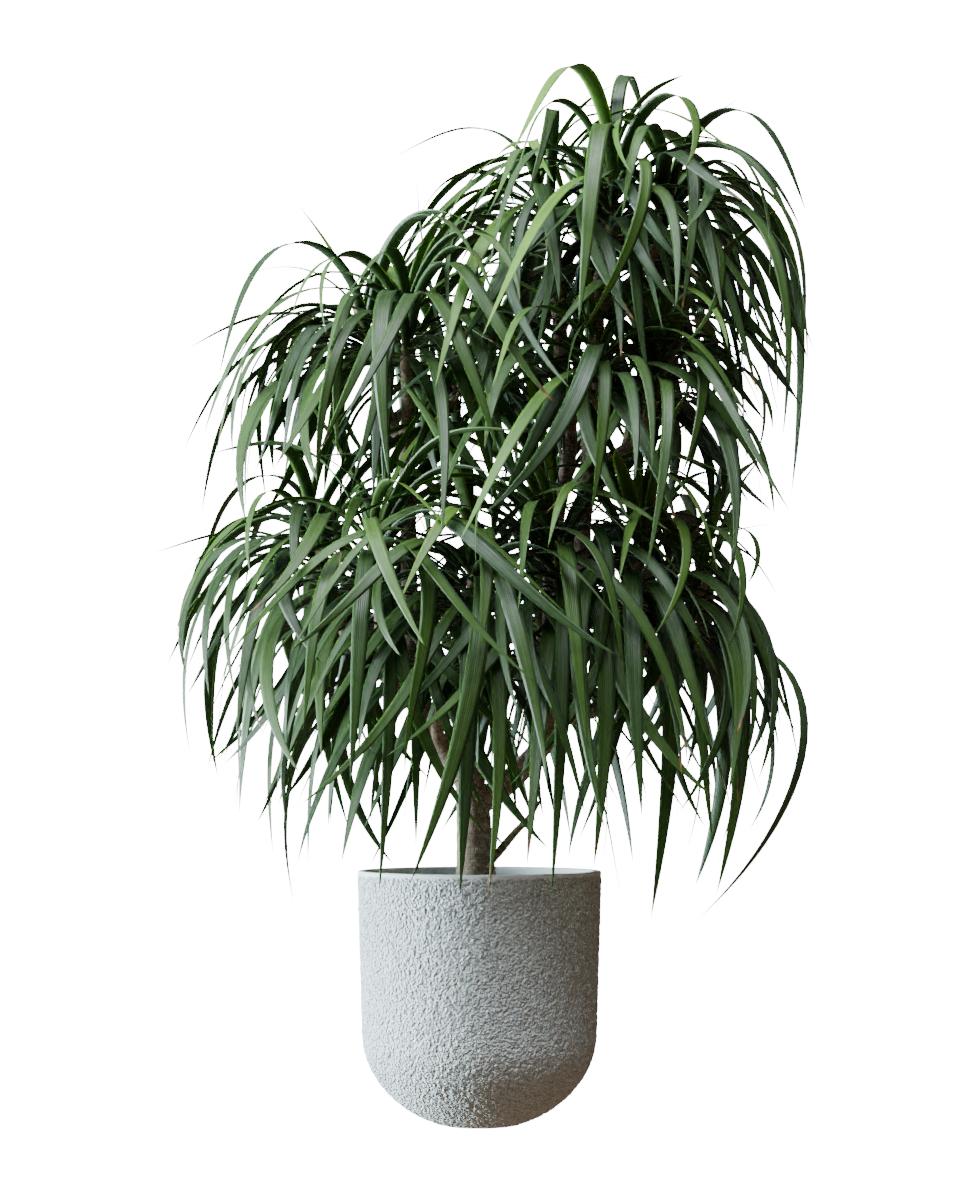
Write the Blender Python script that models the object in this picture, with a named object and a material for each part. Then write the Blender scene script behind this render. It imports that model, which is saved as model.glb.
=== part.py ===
"""Potted dracaena: a branched house plant with drooping strap leaves in a round-bottomed planter.

Metres, +Z up. The origin is the centre of the planter's flat foot, and the plant's front faces -Y.
Every leaf head is one solid: the leafy tip of a branch with its blades fused to it.
"""

import math
import random

import bmesh
import bpy
from mathutils import Matrix, Quaternion, Vector
from mathutils.bvhtree import BVHTree

# Planter
POT_RIM_RADIUS = 0.2010
POT_WAIST_RADIUS = 0.1930
POT_HEIGHT = 0.4160
POT_WAIST_HEIGHT = 0.1526
POT_FOOT_RADIUS = 0.0600
POT_WALL = 0.0130
POT_LIP_ROUND = 0.0030
POT_SIDES = 36
POT_SHARP_ANGLE = math.radians(40)
GAP = 0.0003

# Growing medium
SOIL_DROP = 0.0420
SOIL_CROWN = 0.0060

# Woody parts
RING_SPACING = 0.1300
TRUNK_SIDES = 10
BRANCH_SIDES = 7
TWIG_SIDES = 5

# Leafy tips
HEAD_STEM_RADIUS = 0.0105
HEAD_STEM_LENGTH = 0.1150
HEAD_BUD_LENGTH = 0.0350
HEAD_BUD_RADIUS = 0.0050
HEAD_SIDES = 6
ROOT_REACH = 0.0055

# Largest angle between two faces that count as one flat face
FLAT_ANGLE = math.radians(0.03)

# Blades
GOLDEN_ANGLE = math.radians(137.508)
BLADE_STEPS = 48
BLADE_STATIONS = (3, 13, 23, 34)
BLADE_WIDTH = (0.0195, 0.0315)
BLADE_KEEL = (0.0034, 0.0012)
BLADE_CLEARANCES = (0.0, 0.0006, 0.0012)
BLADE_TRIES = 60

# Drawn blades. The youngest stands at the first pitch, in degrees, and the oldest has fallen by the second.
BLADE_PITCH = 82
BLADE_PITCH_FALL = 74
BLADE_PITCH_STRAY = 13
BLADE_LENGTHS = (0.78, 1.20)
BLADE_TUCK = (-0.05, 0.3)
BLADE_LIMP = (0.8, 1.9)
YOUNGEST_LENGTH = 0.40
YOUNGEST_WIDTH = 0.62
YOUNGEST_DROOP = 0.45

# Most that a drawn blade strays, each way: lean, sway, curl and twist
BLADE_STRAY = (0.9, 0.4, 0.8, 0.7)

# How far the blades may reach
REACH_LOW = (-0.552, -0.520, 0.330)
REACH_HIGH = (0.600, 0.480, 1.765)

# Colours, linear
POT_COLOUR = (0.62, 0.66, 0.65)
SOIL_COLOUR = (0.030, 0.020, 0.013)
BARK_COLOUR = (0.085, 0.050, 0.032)
LEAF_COLOUR = (0.030, 0.095, 0.022)

# Each branch is a list of points that it passes through, with its radius at both ends.
# A branch that ends in a head's name runs on to that head's base.
BRANCHES = {
    "trunk": {
        "points": [(-0.008, 0, 0.238), (-0.006, 0, 0.4), (-0.01, 0.002, 0.5), (-0.017, 0, 0.586)],
        "radius": (0.042, 0.0235),
    },
    "left_limb": {
        "points": [(-0.018, 0, 0.56), (-0.06, 0, 0.618), (-0.096, 0.006, 0.668), (-0.118, 0.012, 0.725)],
        "radius": (0.018, 0.015),
    },
    "right_limb": {
        "points": [(-0.014, 0, 0.52), (0.04, 0, 0.556), (0.096, 0.004, 0.612), (0.142, 0.006, 0.69)],
        "radius": (0.02, 0.016),
    },
    "left_stem": {
        "points": [(-0.108, 0.01, 0.7), (-0.116, 0.03, 0.83), (-0.119, 0.032, 1), (-0.124, 0.028, 1.15)],
        "radius": (0.015, 0.0125),
    },
    "right_stem": {
        "points": [(0.14, 0.006, 0.675), (0.166, 0.03, 0.82), (0.174, 0.034, 1.01), (0.186, 0.03, 1.135)],
        "radius": (0.0155, 0.0135),
    },
    "second_stem": {
        "points": [(0.128, 0.008, 0.655), (0.118, 0.04, 0.86), (0.131, 0.052, 1.01), (0.152, 0.07, 1.13),
                   (0.138, 0.076, 1.3)],
        "radius": (0.0135, 0.012),
        "head": "top_left",
    },
    "crown_stem": {
        "points": [(0.184, 0.03, 1.12), (0.19, 0.04, 1.22), (0.196, 0.03, 1.34), (0.202, 0.02, 1.4)],
        "radius": (0.013, 0.012),
        "head": "top_centre",
    },
}

# Each head: the middle of its leafy stem, how it leans, the most blades it can have, how long they grow
# and, unless a branch runs on to it, its twig's points, the first inside the branch that it leaves.
HEADS = {
    "top_centre": {"middle": (0.222, -0.01, 1.515), "lean": (0.05, -0.12), "blades": 21, "length": 0.5},
    "top_right": {"middle": (0.312, 0.03, 1.515), "lean": (0.25, 0.02), "blades": 21, "length": 0.5,
                  "from": [(0.196, 0.028, 1.35), (0.262, 0.022, 1.405)], "radius": 0.0105},
    "top_left": {"middle": (0.112, 0.04, 1.505), "lean": (-0.25, -0.05), "blades": 22, "length": 0.5},
    "top_back": {"middle": (0.205, 0.165, 1.43), "lean": (0.05, 0.45), "blades": 16, "length": 0.46,
                 "from": [(0.196, 0.034, 1.29), (0.202, 0.11, 1.34)], "radius": 0.0105},
    "upper_left_front": {"middle": (-0.118, -0.05, 1.3), "lean": (0.05, -0.3), "blades": 20, "length": 0.48,
                         "from": [(-0.123, 0.026, 1.13), (-0.119, 0, 1.18)], "radius": 0.011},
    "upper_left_outer": {"middle": (-0.19, 0.06, 1.31), "lean": (-0.35, 0.12), "blades": 21, "length": 0.48,
                         "from": [(-0.123, 0.028, 1.12), (-0.152, 0.042, 1.175)], "radius": 0.011},
    "upper_left_inner": {"middle": (-0.035, 0.06, 1.24), "lean": (0.35, 0.25), "blades": 16, "length": 0.42,
                         "from": [(-0.123, 0.028, 1.085), (-0.085, 0.04, 1.14)], "radius": 0.0105},
    "middle_front": {"middle": (0.19, -0.12, 1.215), "lean": (-0.05, -0.4), "blades": 20, "length": 0.48,
                     "from": [(0.184, 0.028, 1.06), (0.188, -0.05, 1.115)], "radius": 0.011},
    "middle_right": {"middle": (0.29, -0.03, 1.2), "lean": (0.35, -0.1), "blades": 20, "length": 0.48,
                     "from": [(0.184, 0.03, 1.085), (0.245, 0, 1.115)], "radius": 0.011},
    "middle_back": {"middle": (0.262, 0.15, 1.18), "lean": (0.2, 0.4), "blades": 16, "length": 0.46,
                    "from": [(0.182, 0.033, 1.04), (0.215, 0.09, 1.08)], "radius": 0.0105},
    "low_left_outer": {"middle": (-0.262, 0.02, 0.93), "lean": (-0.35, 0.05), "blades": 23, "length": 0.54,
                       "from": [(-0.108, 0.01, 0.7), (-0.165, 0.008, 0.745), (-0.22, 0.014, 0.805)],
                       "radius": 0.012},
    "low_left_front": {"middle": (-0.168, -0.11, 0.9), "lean": (-0.1, -0.35), "blades": 21, "length": 0.56,
                       "from": [(-0.13, 0.01, 0.722), (-0.158, -0.04, 0.78)], "radius": 0.011},
    "low_left_back": {"middle": (-0.16, 0.17, 0.85), "lean": (-0.25, 0.45), "blades": 17, "length": 0.54,
                      "from": [(-0.11, 0.012, 0.69), (-0.14, 0.085, 0.73)], "radius": 0.0105},
    "low_centre_front": {"middle": (-0.012, -0.15, 0.87), "lean": (0.05, -0.35), "blades": 20, "length": 0.56,
                         "from": [(-0.018, 0, 0.575), (-0.016, -0.05, 0.66), (-0.012, -0.11, 0.76)],
                         "radius": 0.0125},
    "low_centre_inner": {"middle": (-0.076, -0.06, 0.77), "lean": (-0.2, -0.25), "blades": 18, "length": 0.46,
                         "from": [(-0.066, 0, 0.618), (-0.07, -0.025, 0.66)], "radius": 0.0105},
    "low_right_inner": {"middle": (0.128, -0.1, 0.9), "lean": (-0.05, -0.3), "blades": 20, "length": 0.56,
                        "from": [(0.11, 0.006, 0.64), (0.122, -0.05, 0.74)], "radius": 0.0115},
    "low_right_front": {"middle": (0.25, -0.095, 0.88), "lean": (0.2, -0.3), "blades": 20, "length": 0.56,
                        "from": [(0.14, 0.006, 0.68), (0.195, -0.035, 0.74)], "radius": 0.0115},
    "low_right_outer": {"middle": (0.35, -0.01, 0.835), "lean": (0.4, -0.05), "blades": 21, "length": 0.55,
                        "from": [(0.128, 0.006, 0.665), (0.22, 0.004, 0.69), (0.295, 0, 0.74)],
                        "radius": 0.0125},
    "low_right_upper": {"middle": (0.31, 0.095, 0.89), "lean": (0.25, 0.3), "blades": 17, "length": 0.48,
                        "from": [(0.2, 0.006, 0.685), (0.25, 0.045, 0.75)], "radius": 0.011},
    "low_right_back": {"middle": (0.11, 0.18, 0.84), "lean": (0.05, 0.45), "blades": 17, "length": 0.54,
                       "from": [(0.1, 0.008, 0.62), (0.108, 0.1, 0.7)], "radius": 0.0105},
}

# How far gravity turns a blade, least and most, by the tier that its head is in
DROOP = {"top": (1.7, 3.3), "upper": (1.7, 3.3), "middle": (1.8, 3.4), "low": (1.5, 3.0)}

# How low the drawn blades of each tier hang
LOWEST = {"top": 1.12, "upper": 0.99, "middle": 0.96, "low": 0.36}

# How far the drawn blades reach at each height: the height, then the left, right and front or back
CROWN_REACH = [
    (1.80, 0.12, 0.32, 0.10), (1.70, 0.06, 0.38, 0.20), (1.64, 0.02, 0.46, 0.28),
    (1.56, -0.06, 0.52, 0.36), (1.48, -0.16, 0.53, 0.40), (1.40, -0.30, 0.54, 0.42),
    (1.32, -0.40, 0.55, 0.44), (1.22, -0.45, 0.55, 0.44), (1.12, -0.46, 0.52, 0.42),
    (1.00, -0.43, 0.50, 0.38), (0.92, -0.50, 0.50, 0.42), (0.80, -0.53, 0.51, 0.46),
    (0.70, -0.51, 0.52, 0.46), (0.60, -0.47, 0.53, 0.46), (0.50, -0.40, 0.49, 0.44),
    (0.42, -0.32, 0.44, 0.40), (0.30, -0.28, 0.38, 0.36),
]

# Blades that are set one by one: azimuth, pitch, droop, length, height on the leafy stem,
# lean, tuck and limpness.
# Azimuth 0 points to +X and -90 to the front.
REACHING = {
    "top_centre": [
        (-109, 62, 2.5, 0.57, 0.94, -0.15, -0.08, 1.8), (75, 86, 4.1, 0.44, 0.59, 0.0, 0.05, 1.6),
        (-97, 48, 3.3, 0.61, 0.7, -0.1, 0.08, 1.5), (-110, -5, 1.0, 0.62, 0.95, -0.19, 0.14, 1.2),
        (-67, 27, 2.0, 0.5, 0.25, -0.26, 0.07, 1.2), (-63, 39, 3.8, 0.53, 0.62, -0.67, 0.27, 1.3),
        (-111, 48, 2.3, 0.54, 0.39, 0.09, 0.04, 1.3),
    ],
    "top_right": [
        (-104, 63, 3.2, 0.41, 0.67, -0.09, 0.05, 1.5), (-74, 35, 2.6, 0.44, 0.04, -0.02, -0.23, 1.1),
        (-78, 44, 3.1, 0.5, 0.51, -0.22, 0.09, 1.4), (-39, 78, 3.5, 0.5, 0.41, 0.03, 0.04, 1.5),
        (10, 66, 0.9, 0.2, 0.92, 0.0, 0.0, 1.2), (-55, 51, 2.0, 0.32, 0.42, -0.23, 0.14, 0.8),
        (49, 35, 2.2, 0.61, 0.32, 0.07, 0.05, 1.2), (51, 44, 2.7, 0.63, 0.59, -0.25, -0.02, 1.6),
        (-54, 18, 2.3, 0.6, 0.3, -0.19, 0.08, 1.1), (38, 34, 3.3, 0.65, 0.62, 0.11, 0.2, 1.5),
        (31, 24, 3.8, 0.72, 0.84, 0.08, 0.17, 1.7),
    ],
    "top_left": [
        (153, 79, 2.8, 0.41, 0.3, 0.04, 0.0, 1.8), (137, 84, 3.6, 0.34, 0.22, 0.17, -0.04, 2.3),
        (150, 76, 0.4, 0.26, 0.9, 0.1, 0.0, 1.4), (126, 43, 1.3, 0.49, 0.43, 0.18, 0.01, 1.7),
        (-82, 63, 2.9, 0.55, 0.27, -0.35, 0.18, 1.0), (-115, -14, 1.1, 0.57, 0.81, -0.01, 0.04, 1.2),
    ],
    "upper_left_inner": [
        (-159, 75, 0.3, 0.37, 0.23, 0.12, 0.33, 1.4), (-85, 48, 2.6, 0.52, 0.3, 0.22, 0.05, 1.4),
    ],
    "upper_left_outer": [
        (-141, 76, 3.7, 0.58, 0.04, 0.03, 0.17, 1.7), (120, 11, 0.6, 0.42, 0.95, -0.29, 0.13, 1.2),
        (155, 36, 1.1, 0.39, 0.28, 0.01, 0.03, 1.4), (166, 32, 2.4, 0.45, 0.04, 0.26, -0.04, 0.8),
        (162, 29, 2.7, 0.49, 0.04, 0.26, 0.15, 0.9), (-145, 0, 1.8, 0.53, 0.04, 0.53, 0.27, 0.6),
        (165, 66, 0.5, 0.22, 0.9, -0.1, 0.0, 1.3), (170, 52, 1.4, 0.26, 0.85, 0.0, 0.05, 1.3),
        (-102, -9, 0.7, 0.5, 0.3, -0.2, 0.0, 1.4),
    ],
    "upper_left_front": [
        (-79, 28, 2.1, 0.61, 0.24, -0.62, 0.2, 0.7), (-90, 41, 2.9, 0.55, 0.04, -0.29, 0.04, 1.4),
        (61, 13, 0.3, 0.25, 0.51, -0.02, 0.04, 1.4), (-75, -4, 1.3, 0.6, 0.27, -0.18, 0.04, 1.2),
        (-89, 27, 3.0, 0.55, 0.5, 0.15, 0.05, 1.4),
    ],
    "middle_front": [
        (-101, 0, 1.0, 0.57, 0.67, -0.2, 0.02, 1.4), (114, 31, 1.6, 0.55, 0.32, -0.15, 0.07, 1.2),
        (-77, 18, 1.4, 0.49, 0.22, -0.21, 0.05, 1.3), (-71, 29, 1.9, 0.48, 0.27, -0.22, 0.06, 1.2),
        (109, 14, 0.3, 0.2, 0.91, -0.14, 0.05, 1.4), (-81, 24, 3.0, 0.4, 0.49, -0.18, 0.08, 1.4),
    ],
    "middle_right": [
        (-81, 39, 2.9, 0.59, 0.04, -0.25, 0.13, 1.4), (-84, 32, 2.0, 0.62, 0.43, 0.46, 0.08, 1.5),
        (-61, 3, 1.5, 0.52, 0.35, -0.32, 0.15, 1.1),
    ],
    "low_left_outer": [
        (154, 81, 4.3, 0.55, 0.04, -0.08, 0.17, 1.8), (176, 53, 1.5, 0.35, 0.04, 0.05, -0.1, 2.1),
        (143, 37, 1.9, 0.49, 0.04, 0.01, -0.04, 1.2), (158, 18, 2.9, 0.52, 0.04, -0.3, 0.26, 1.1),
        (-111, 12, 1.8, 0.54, 0.35, 0.07, 0.07, 1.2),
    ],
    "low_left_front": [
        (-92, 26, 3.0, 0.58, 0.48, -0.06, 0.05, 1.4), (-108, 31, 2.6, 0.49, 0.44, -0.01, 0.05, 1.3),
        (117, 17, 0.3, 0.35, 0.5, -0.09, 0.08, 1.3), (-80, -2, 3.4, 0.63, 0.49, -0.09, 0.01, 1.5),
    ],
    "low_centre_inner": [
        (163, 4, 2.7, 0.56, 0.04, -0.22, 0.3, 0.7), (-110, -9, 0.8, 0.55, 0.09, 0.12, 0.06, 1.2),
    ],
    "low_left_back": [
        (-160, 30, 3.0, 0.52, 0.3, 0.1, 0.2, 1.2), (156, 26, 2.4, 0.51, 0.04, 0.11, 0.06, 0.9),
    ],
    "low_centre_front": [
        (-81, 13, 3.6, 0.66, 0.57, -0.44, 0.01, 1.5), (-90, -4, 3.1, 0.6, 0.47, -0.06, 0.05, 1.4),
        (-75, -17, 2.4, 0.58, 0.46, -0.13, 0.12, 1.2), (-79, 56, 3.2, 0.41, 0.57, -0.17, 0.07, 1.4),
    ],
    "low_right_inner": [
        (-89, 34, 2.8, 0.56, 0.42, 0.11, 0.05, 1.4), (-62, 48, 3.5, 0.45, 0.57, -0.27, 0.15, 1.4),
        (-70, 3, 3.1, 0.62, 0.5, -0.14, 0.09, 1.4), (-96, -17, 1.3, 0.61, 0.2, -0.06, 0.05, 1.1),
        (-92, 1, 3.0, 0.64, 0.5, -0.08, 0.05, 1.4),
    ],
    "low_right_front": [
        (-71, -9, 3.5, 0.63, 0.47, -0.18, 0.04, 1.5), (-94, 20, 3.0, 0.58, 0.5, 0.06, 0.05, 1.4),
        (-111, 24, 3.3, 0.63, 0.5, 0.27, 0.09, 1.4),
    ],
    "low_right_outer": [
        (-60, 4, 2.4, 0.48, 0.04, -0.78, 0.31, 0.7), (-72, -3, 2.6, 0.6, 0.4, -0.29, 0.18, 1.2),
        (-34, 3, 4.1, 0.72, 0.16, -0.8, 0.9, 0.6),
    ],
    "low_right_upper": [
        (-69, 41, 3.1, 0.55, 0.55, 0.34, -0.11, 1.6), (60, 36, 2.0, 0.49, 0.38, -0.13, 0.0, 1.4),
        (43, 56, 1.3, 0.34, 0.04, -0.13, -0.05, 2.5), (-51, 28, 1.2, 0.33, 0.14, -0.37, 0.23, 0.6),
    ],
}


def axis_of(head):
    """Unit direction in which a head's stem grows."""
    lean_x, lean_y = HEADS[head]["lean"]
    return Vector((lean_x, lean_y, 1.0)).normalized()


def base_of(head):
    """Where a head's leafy stem starts."""
    return Vector(HEADS[head]["middle"]) - axis_of(head) * HEAD_STEM_LENGTH / 2


def toward(azimuth, pitch):
    """Unit vector at an azimuth round Z, from +X, and a pitch above the horizontal."""
    level = math.cos(pitch)
    return Vector((math.cos(azimuth) * level, math.sin(azimuth) * level, math.sin(pitch)))


def smooth_path(points, spacing):
    """Points about spacing apart on a Catmull-Rom curve through the given ones."""
    points = [Vector(p) for p in points]
    ends = [points[0] * 2 - points[1]] + points + [points[-1] * 2 - points[-2]]
    path = [points[0]]
    for before, here, there, after in zip(ends, ends[1:], ends[2:], ends[3:]):
        steps = max(1, round((there - here).length / spacing))
        for k in range(1, steps + 1):
            t = k / steps
            path.append(0.5 * (
                2 * here + (there - before) * t
                + (2 * before - 5 * here + 4 * there - after) * t * t
                + (3 * here - before - 3 * there + after) * t ** 3
            ))
    return path


def ring(centre, direction, radius, sides):
    """Corners of a regular polygon round a centre, square to a direction."""
    across = direction.cross(Vector((0, 1, 0))).normalized()
    up = direction.cross(across).normalized()
    return [
        centre + radius * (math.cos(math.tau * k / sides) * across + math.sin(math.tau * k / sides) * up)
        for k in range(sides)
    ]


def tube(path, radii, sides, end_direction=None):
    """Vertices and triangles of a closed tapered tube, whose last ring may face a given way."""
    ends = [path[0], *path, path[-1]]
    directions = [(after - before).normalized() for before, after in zip(ends, ends[2:])]
    directions[-1] = end_direction or directions[-1]
    vertices = []
    for point, direction, radius in zip(path, directions, radii):
        vertices += ring(point, direction, radius, sides)
    faces = []
    for k in range(len(path) - 1):
        for j in range(sides):
            a, b = k * sides + j, k * sides + (j + 1) % sides
            faces += [(a, b, b + sides), (a, b + sides, a + sides)]
    last = (len(path) - 1) * sides
    for j in range(1, sides - 1):
        faces += [(0, j + 1, j), (last, last + j, last + j + 1)]
    return vertices, faces


def tapered(first, last, count):
    """Radii that run evenly from first to last."""
    return [first + (last - first) * k / (count - 1) for k in range(count)]


def branch_tubes():
    """Every woody tube: the trunk first, the limbs and stems, and the twigs that carry the heads."""
    tubes = []
    for name, branch in BRANCHES.items():
        sides = TRUNK_SIDES if name == "trunk" else BRANCH_SIDES
        tubes.append(woody_tube(branch["points"], branch["radius"], sides, branch.get("head")))
    for name, head in HEADS.items():
        if "from" in head:
            tubes.append(woody_tube(head["from"], (head["radius"], HEAD_STEM_RADIUS), TWIG_SIDES, name))
    return tubes


def woody_tube(points, radii, sides, head=None):
    """A tapered tube through points, and on to the foot of a head if it carries one."""
    if head:
        points = [*points, base_of(head) - axis_of(head) * GAP]
    path = smooth_path(points, RING_SPACING)
    return tube(path, tapered(*radii, len(path)), sides, axis_of(head) if head else None)


def head_stem(name):
    """Vertices and triangles of a head's own stem, which ends in a pointed bud."""
    start, axis = base_of(name), axis_of(name)
    heights = (0.0, HEAD_STEM_LENGTH, HEAD_STEM_LENGTH + HEAD_BUD_LENGTH)
    radii = (HEAD_STEM_RADIUS, 0.8 * HEAD_STEM_RADIUS, HEAD_BUD_RADIUS)
    return tube([start + axis * h for h in heights], radii, HEAD_SIDES)


def blade_shape(s):
    """Share of its full width that a blade has at a share s of its length."""
    base = 0.42 + 0.58 * math.sin(math.pi / 2 * min(1.0, s / 0.45))
    return base * max(0.0, 1 - max(0.0, (s - 0.46) / 0.54) ** 1.7)


def bend_shares(limp):
    """How the bend is shared out over the steps of a blade: the limper, the nearer its root."""
    shares = [(s + 0.05) * (1 - s) ** limp for s in ((k + 0.5) / BLADE_STEPS for k in range(BLADE_STEPS))]
    return [share / sum(shares) for share in shares] + [0.0]


def blade_course(root, azimuth, pitch, droop, length, lean, tuck, limp, sway, curl, twist, width):
    """Centre, side and upper directions and half width at each step of a blade that gravity bends down.

    Lean and curl push it sideways, tuck pulls its tip back and sway turns its heading.
    """
    course = []
    point, angle = Vector(root), pitch
    for k, bend in enumerate(bend_shares(limp)):
        s = k / BLADE_STEPS
        heading = azimuth + sway * s * s
        level = Vector((-math.sin(heading), math.cos(heading), 0.0))
        outward = Vector((math.cos(heading), math.sin(heading), 0.0))
        tangent = toward(heading, angle) + level * (lean * s + curl * s ** 3) - outward * tuck * s * s
        tangent.normalize()
        side = (level - tangent * level.dot(tangent)).normalized()
        turn = Matrix.Rotation(twist * s, 3, tangent)
        course.append((point.copy(), turn @ side, turn @ tangent.cross(side), width / 2 * blade_shape(s)))
        point += tangent * length / BLADE_STEPS
        angle -= droop * math.cos(angle) * bend
    return course


def bulging_pair(vertices, b, c):
    """The two triangles of a blade's side between two stations, split so that the side bulges outwards."""
    normal = (vertices[c] - vertices[b]).cross(vertices[c + 3] - vertices[b])
    if (vertices[b + 3] - vertices[b]).dot(normal) <= 0:
        return [(b, c, c + 3), (b, c + 3, b + 3)]
    return [(b, c, b + 3), (c, c + 3, b + 3)]


def blade_mesh(course, grow=0.0, rooted=True):
    """Vertices and triangles of a three-sided blade: a flat upper face, a keel below and a pointed root."""
    vertices, faces = [], []
    for k in BLADE_STATIONS:
        point, side, upper, half = course[k]
        keel = BLADE_KEEL[0] + (BLADE_KEEL[1] - BLADE_KEEL[0]) * k / BLADE_STEPS
        lift = upper * grow
        vertices += [point + side * (half + grow) + lift, point - side * (half + grow) + lift,
                     point - upper * (keel + grow)]
    last = len(vertices) - 3
    for a in range(0, last, 3):
        for b, c in ((a, a + 1), (a + 1, a + 2), (a + 2, a)):
            faces += bulging_pair(vertices, b, c)
    tip = len(vertices)
    faces += [(last, last + 1, tip), (last + 1, last + 2, tip), (last + 2, last, tip)]
    vertices.append(course[BLADE_STEPS][0])
    if rooted:
        faces += [(1, 0, tip + 1), (2, 1, tip + 1), (0, 2, tip + 1)]
        vertices.append(course[0][0])
    else:
        faces.append((0, 2, 1))
    return vertices, faces


def blade_at(name, azimuth, pitch, droop, length, share, *bends):
    """The course of a blade that grows from a share of the way up a head's leafy stem."""
    axis, direction = axis_of(name), toward(azimuth, pitch)
    outward = (direction - axis * direction.dot(axis)).normalized()
    root = base_of(name) + axis * HEAD_STEM_LENGTH * share - outward * ROOT_REACH
    return blade_course(root, azimuth, pitch, droop, length + ROOT_REACH, *bends)


def reaching_blade(name, rank, attempt):
    """A blade from the list of those that are set. A later attempt turns it a little."""
    azimuth, pitch, droop, length, share, lean, tuck, limp = REACHING[name][rank]
    draw = random.Random(f"{name} reaching {rank} {attempt}")
    azimuth = math.radians(azimuth + draw.uniform(-0.3, 0.3) * attempt)
    pitch = math.radians(pitch + draw.uniform(-0.2, 0.2) * attempt)
    return blade_at(name, azimuth, pitch, droop, length, share, lean, tuck, limp, 0.0, 0.0,
                    draw.uniform(-0.4, 0.4), draw.uniform(*BLADE_WIDTH))


def drawn_blade(name, rank, attempt):
    """A blade by its rank, counted from the oldest, which is lowest. Later attempts stray more."""
    head = HEADS[name]
    draw = random.Random(f"{name} {rank} {attempt}")
    age = 1 - rank / (head["blades"] - 1)
    grown = math.sin(math.pi / 2 * min(1.0, 0.10 + age / 0.50))
    azimuth = rank * GOLDEN_ANGLE + draw.uniform(-1, 1) * (0.10 + 0.60 * attempt / BLADE_TRIES)
    stray = draw.uniform(-BLADE_PITCH_STRAY, BLADE_PITCH_STRAY)
    pitch = math.radians(BLADE_PITCH - BLADE_PITCH_FALL * age ** 0.85 + stray)
    direction = toward(azimuth, pitch)
    direction.rotate(Vector((0, 0, 1)).rotation_difference(axis_of(name)).slerp(Quaternion(), 0.4))
    droop = draw.uniform(*DROOP[name.split("_")[0]]) * (YOUNGEST_DROOP + (1 - YOUNGEST_DROOP) * grown)
    length = head["length"] * (YOUNGEST_LENGTH + (1 - YOUNGEST_LENGTH) * grown) * draw.uniform(*BLADE_LENGTHS)
    lean, sway, curl, twist = (most * draw.uniform(-1, 1) for most in BLADE_STRAY)
    tuck, limp = draw.uniform(*BLADE_TUCK), draw.uniform(*BLADE_LIMP)
    width = draw.uniform(*BLADE_WIDTH) * (YOUNGEST_WIDTH + (1 - YOUNGEST_WIDTH) * grown)
    return blade_at(name, math.atan2(direction.y, direction.x), math.asin(direction.z), droop, length,
                    0.06 + 0.90 * (1 - age), lean, tuck, limp, sway, curl, twist, width)


def tree_of(meshes):
    """A search tree over several meshes together."""
    vertices, faces = [], []
    for part_vertices, part_faces in meshes:
        start = len(vertices)
        vertices += part_vertices
        faces += [tuple(start + corner for corner in face) for face in part_faces]
    return BVHTree.FromPolygons(vertices, faces, all_triangles=True)


def pot_profile():
    """Outline of the planter, from the middle of its foot up the outside and down the inside."""
    outline = [(0.0, 0.0), (POT_FOOT_RADIUS, 0.0)]
    outline += bowl_arc(0.0, 5)
    outline += [
        (POT_RIM_RADIUS, POT_HEIGHT - POT_LIP_ROUND),
        (POT_RIM_RADIUS - POT_LIP_ROUND, POT_HEIGHT),
        (POT_RIM_RADIUS - POT_WALL + POT_LIP_ROUND, POT_HEIGHT),
        (POT_RIM_RADIUS - POT_WALL, POT_HEIGHT - POT_LIP_ROUND),
    ]
    return outline + inner_outline(0.0)


def bowl_arc(inset, steps):
    """The round bottom, from the foot's edge to the waist, moved inwards by inset."""
    radius, depth = POT_WAIST_RADIUS - inset, POT_WAIST_HEIGHT
    reach = math.sqrt(1 - (POT_FOOT_RADIUS / POT_WAIST_RADIUS) ** 2)
    start = math.asin(reach)
    arc = []
    for k in range(1, steps + 1):
        angle = start * (1 - k / steps)
        arc.append((radius * math.cos(angle), inset + (depth - inset) * (1 - math.sin(angle) / reach)))
    return arc


def inner_outline(shrink):
    """The inside of the planter below the lip, from the top down, moved further inwards by shrink."""
    wall = POT_WALL + shrink
    arc = bowl_arc(wall, 3)[::-1]
    return arc + [(POT_FOOT_RADIUS - wall, wall), (0.0, wall)]


def turned(name, outline, finish):
    """An object turned round the Z axis from an outline that starts and ends on it."""
    shape = bmesh.new()
    corners = [shape.verts.new((radius, 0, height)) for radius, height in outline]
    edges = [shape.edges.new(pair) for pair in zip(corners, corners[1:])]
    bmesh.ops.spin(shape, geom=corners + edges, axis=(0, 0, 1), angle=math.tau, steps=POT_SIDES)
    bmesh.ops.remove_doubles(shape, verts=shape.verts, dist=GAP / 10)
    bmesh.ops.recalc_face_normals(shape, faces=shape.faces)
    return object_of(name, shape, finish)


def soil_profile():
    """Outline of the soil that fills the planter, a little higher in the middle."""
    top = POT_HEIGHT - SOIL_DROP
    inside = inner_outline(GAP)
    share = (top - POT_WAIST_HEIGHT) / (POT_HEIGHT - POT_LIP_ROUND - POT_WAIST_HEIGHT)
    edge = (POT_WAIST_RADIUS + (POT_RIM_RADIUS - POT_WAIST_RADIUS) * share) - POT_WALL - GAP
    return inside[::-1] + [(edge, top), (0.0, top + SOIL_CROWN)]


def material(name, colour, roughness):
    """A plain Principled material."""
    made = bpy.data.materials.new(name)
    made.use_nodes = True
    shader = made.node_tree.nodes["Principled BSDF"]
    shader.inputs["Base Color"].default_value = (*colour, 1.0)
    shader.inputs["Roughness"].default_value = roughness
    shader.inputs["Metallic"].default_value = 0.0
    return made


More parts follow.
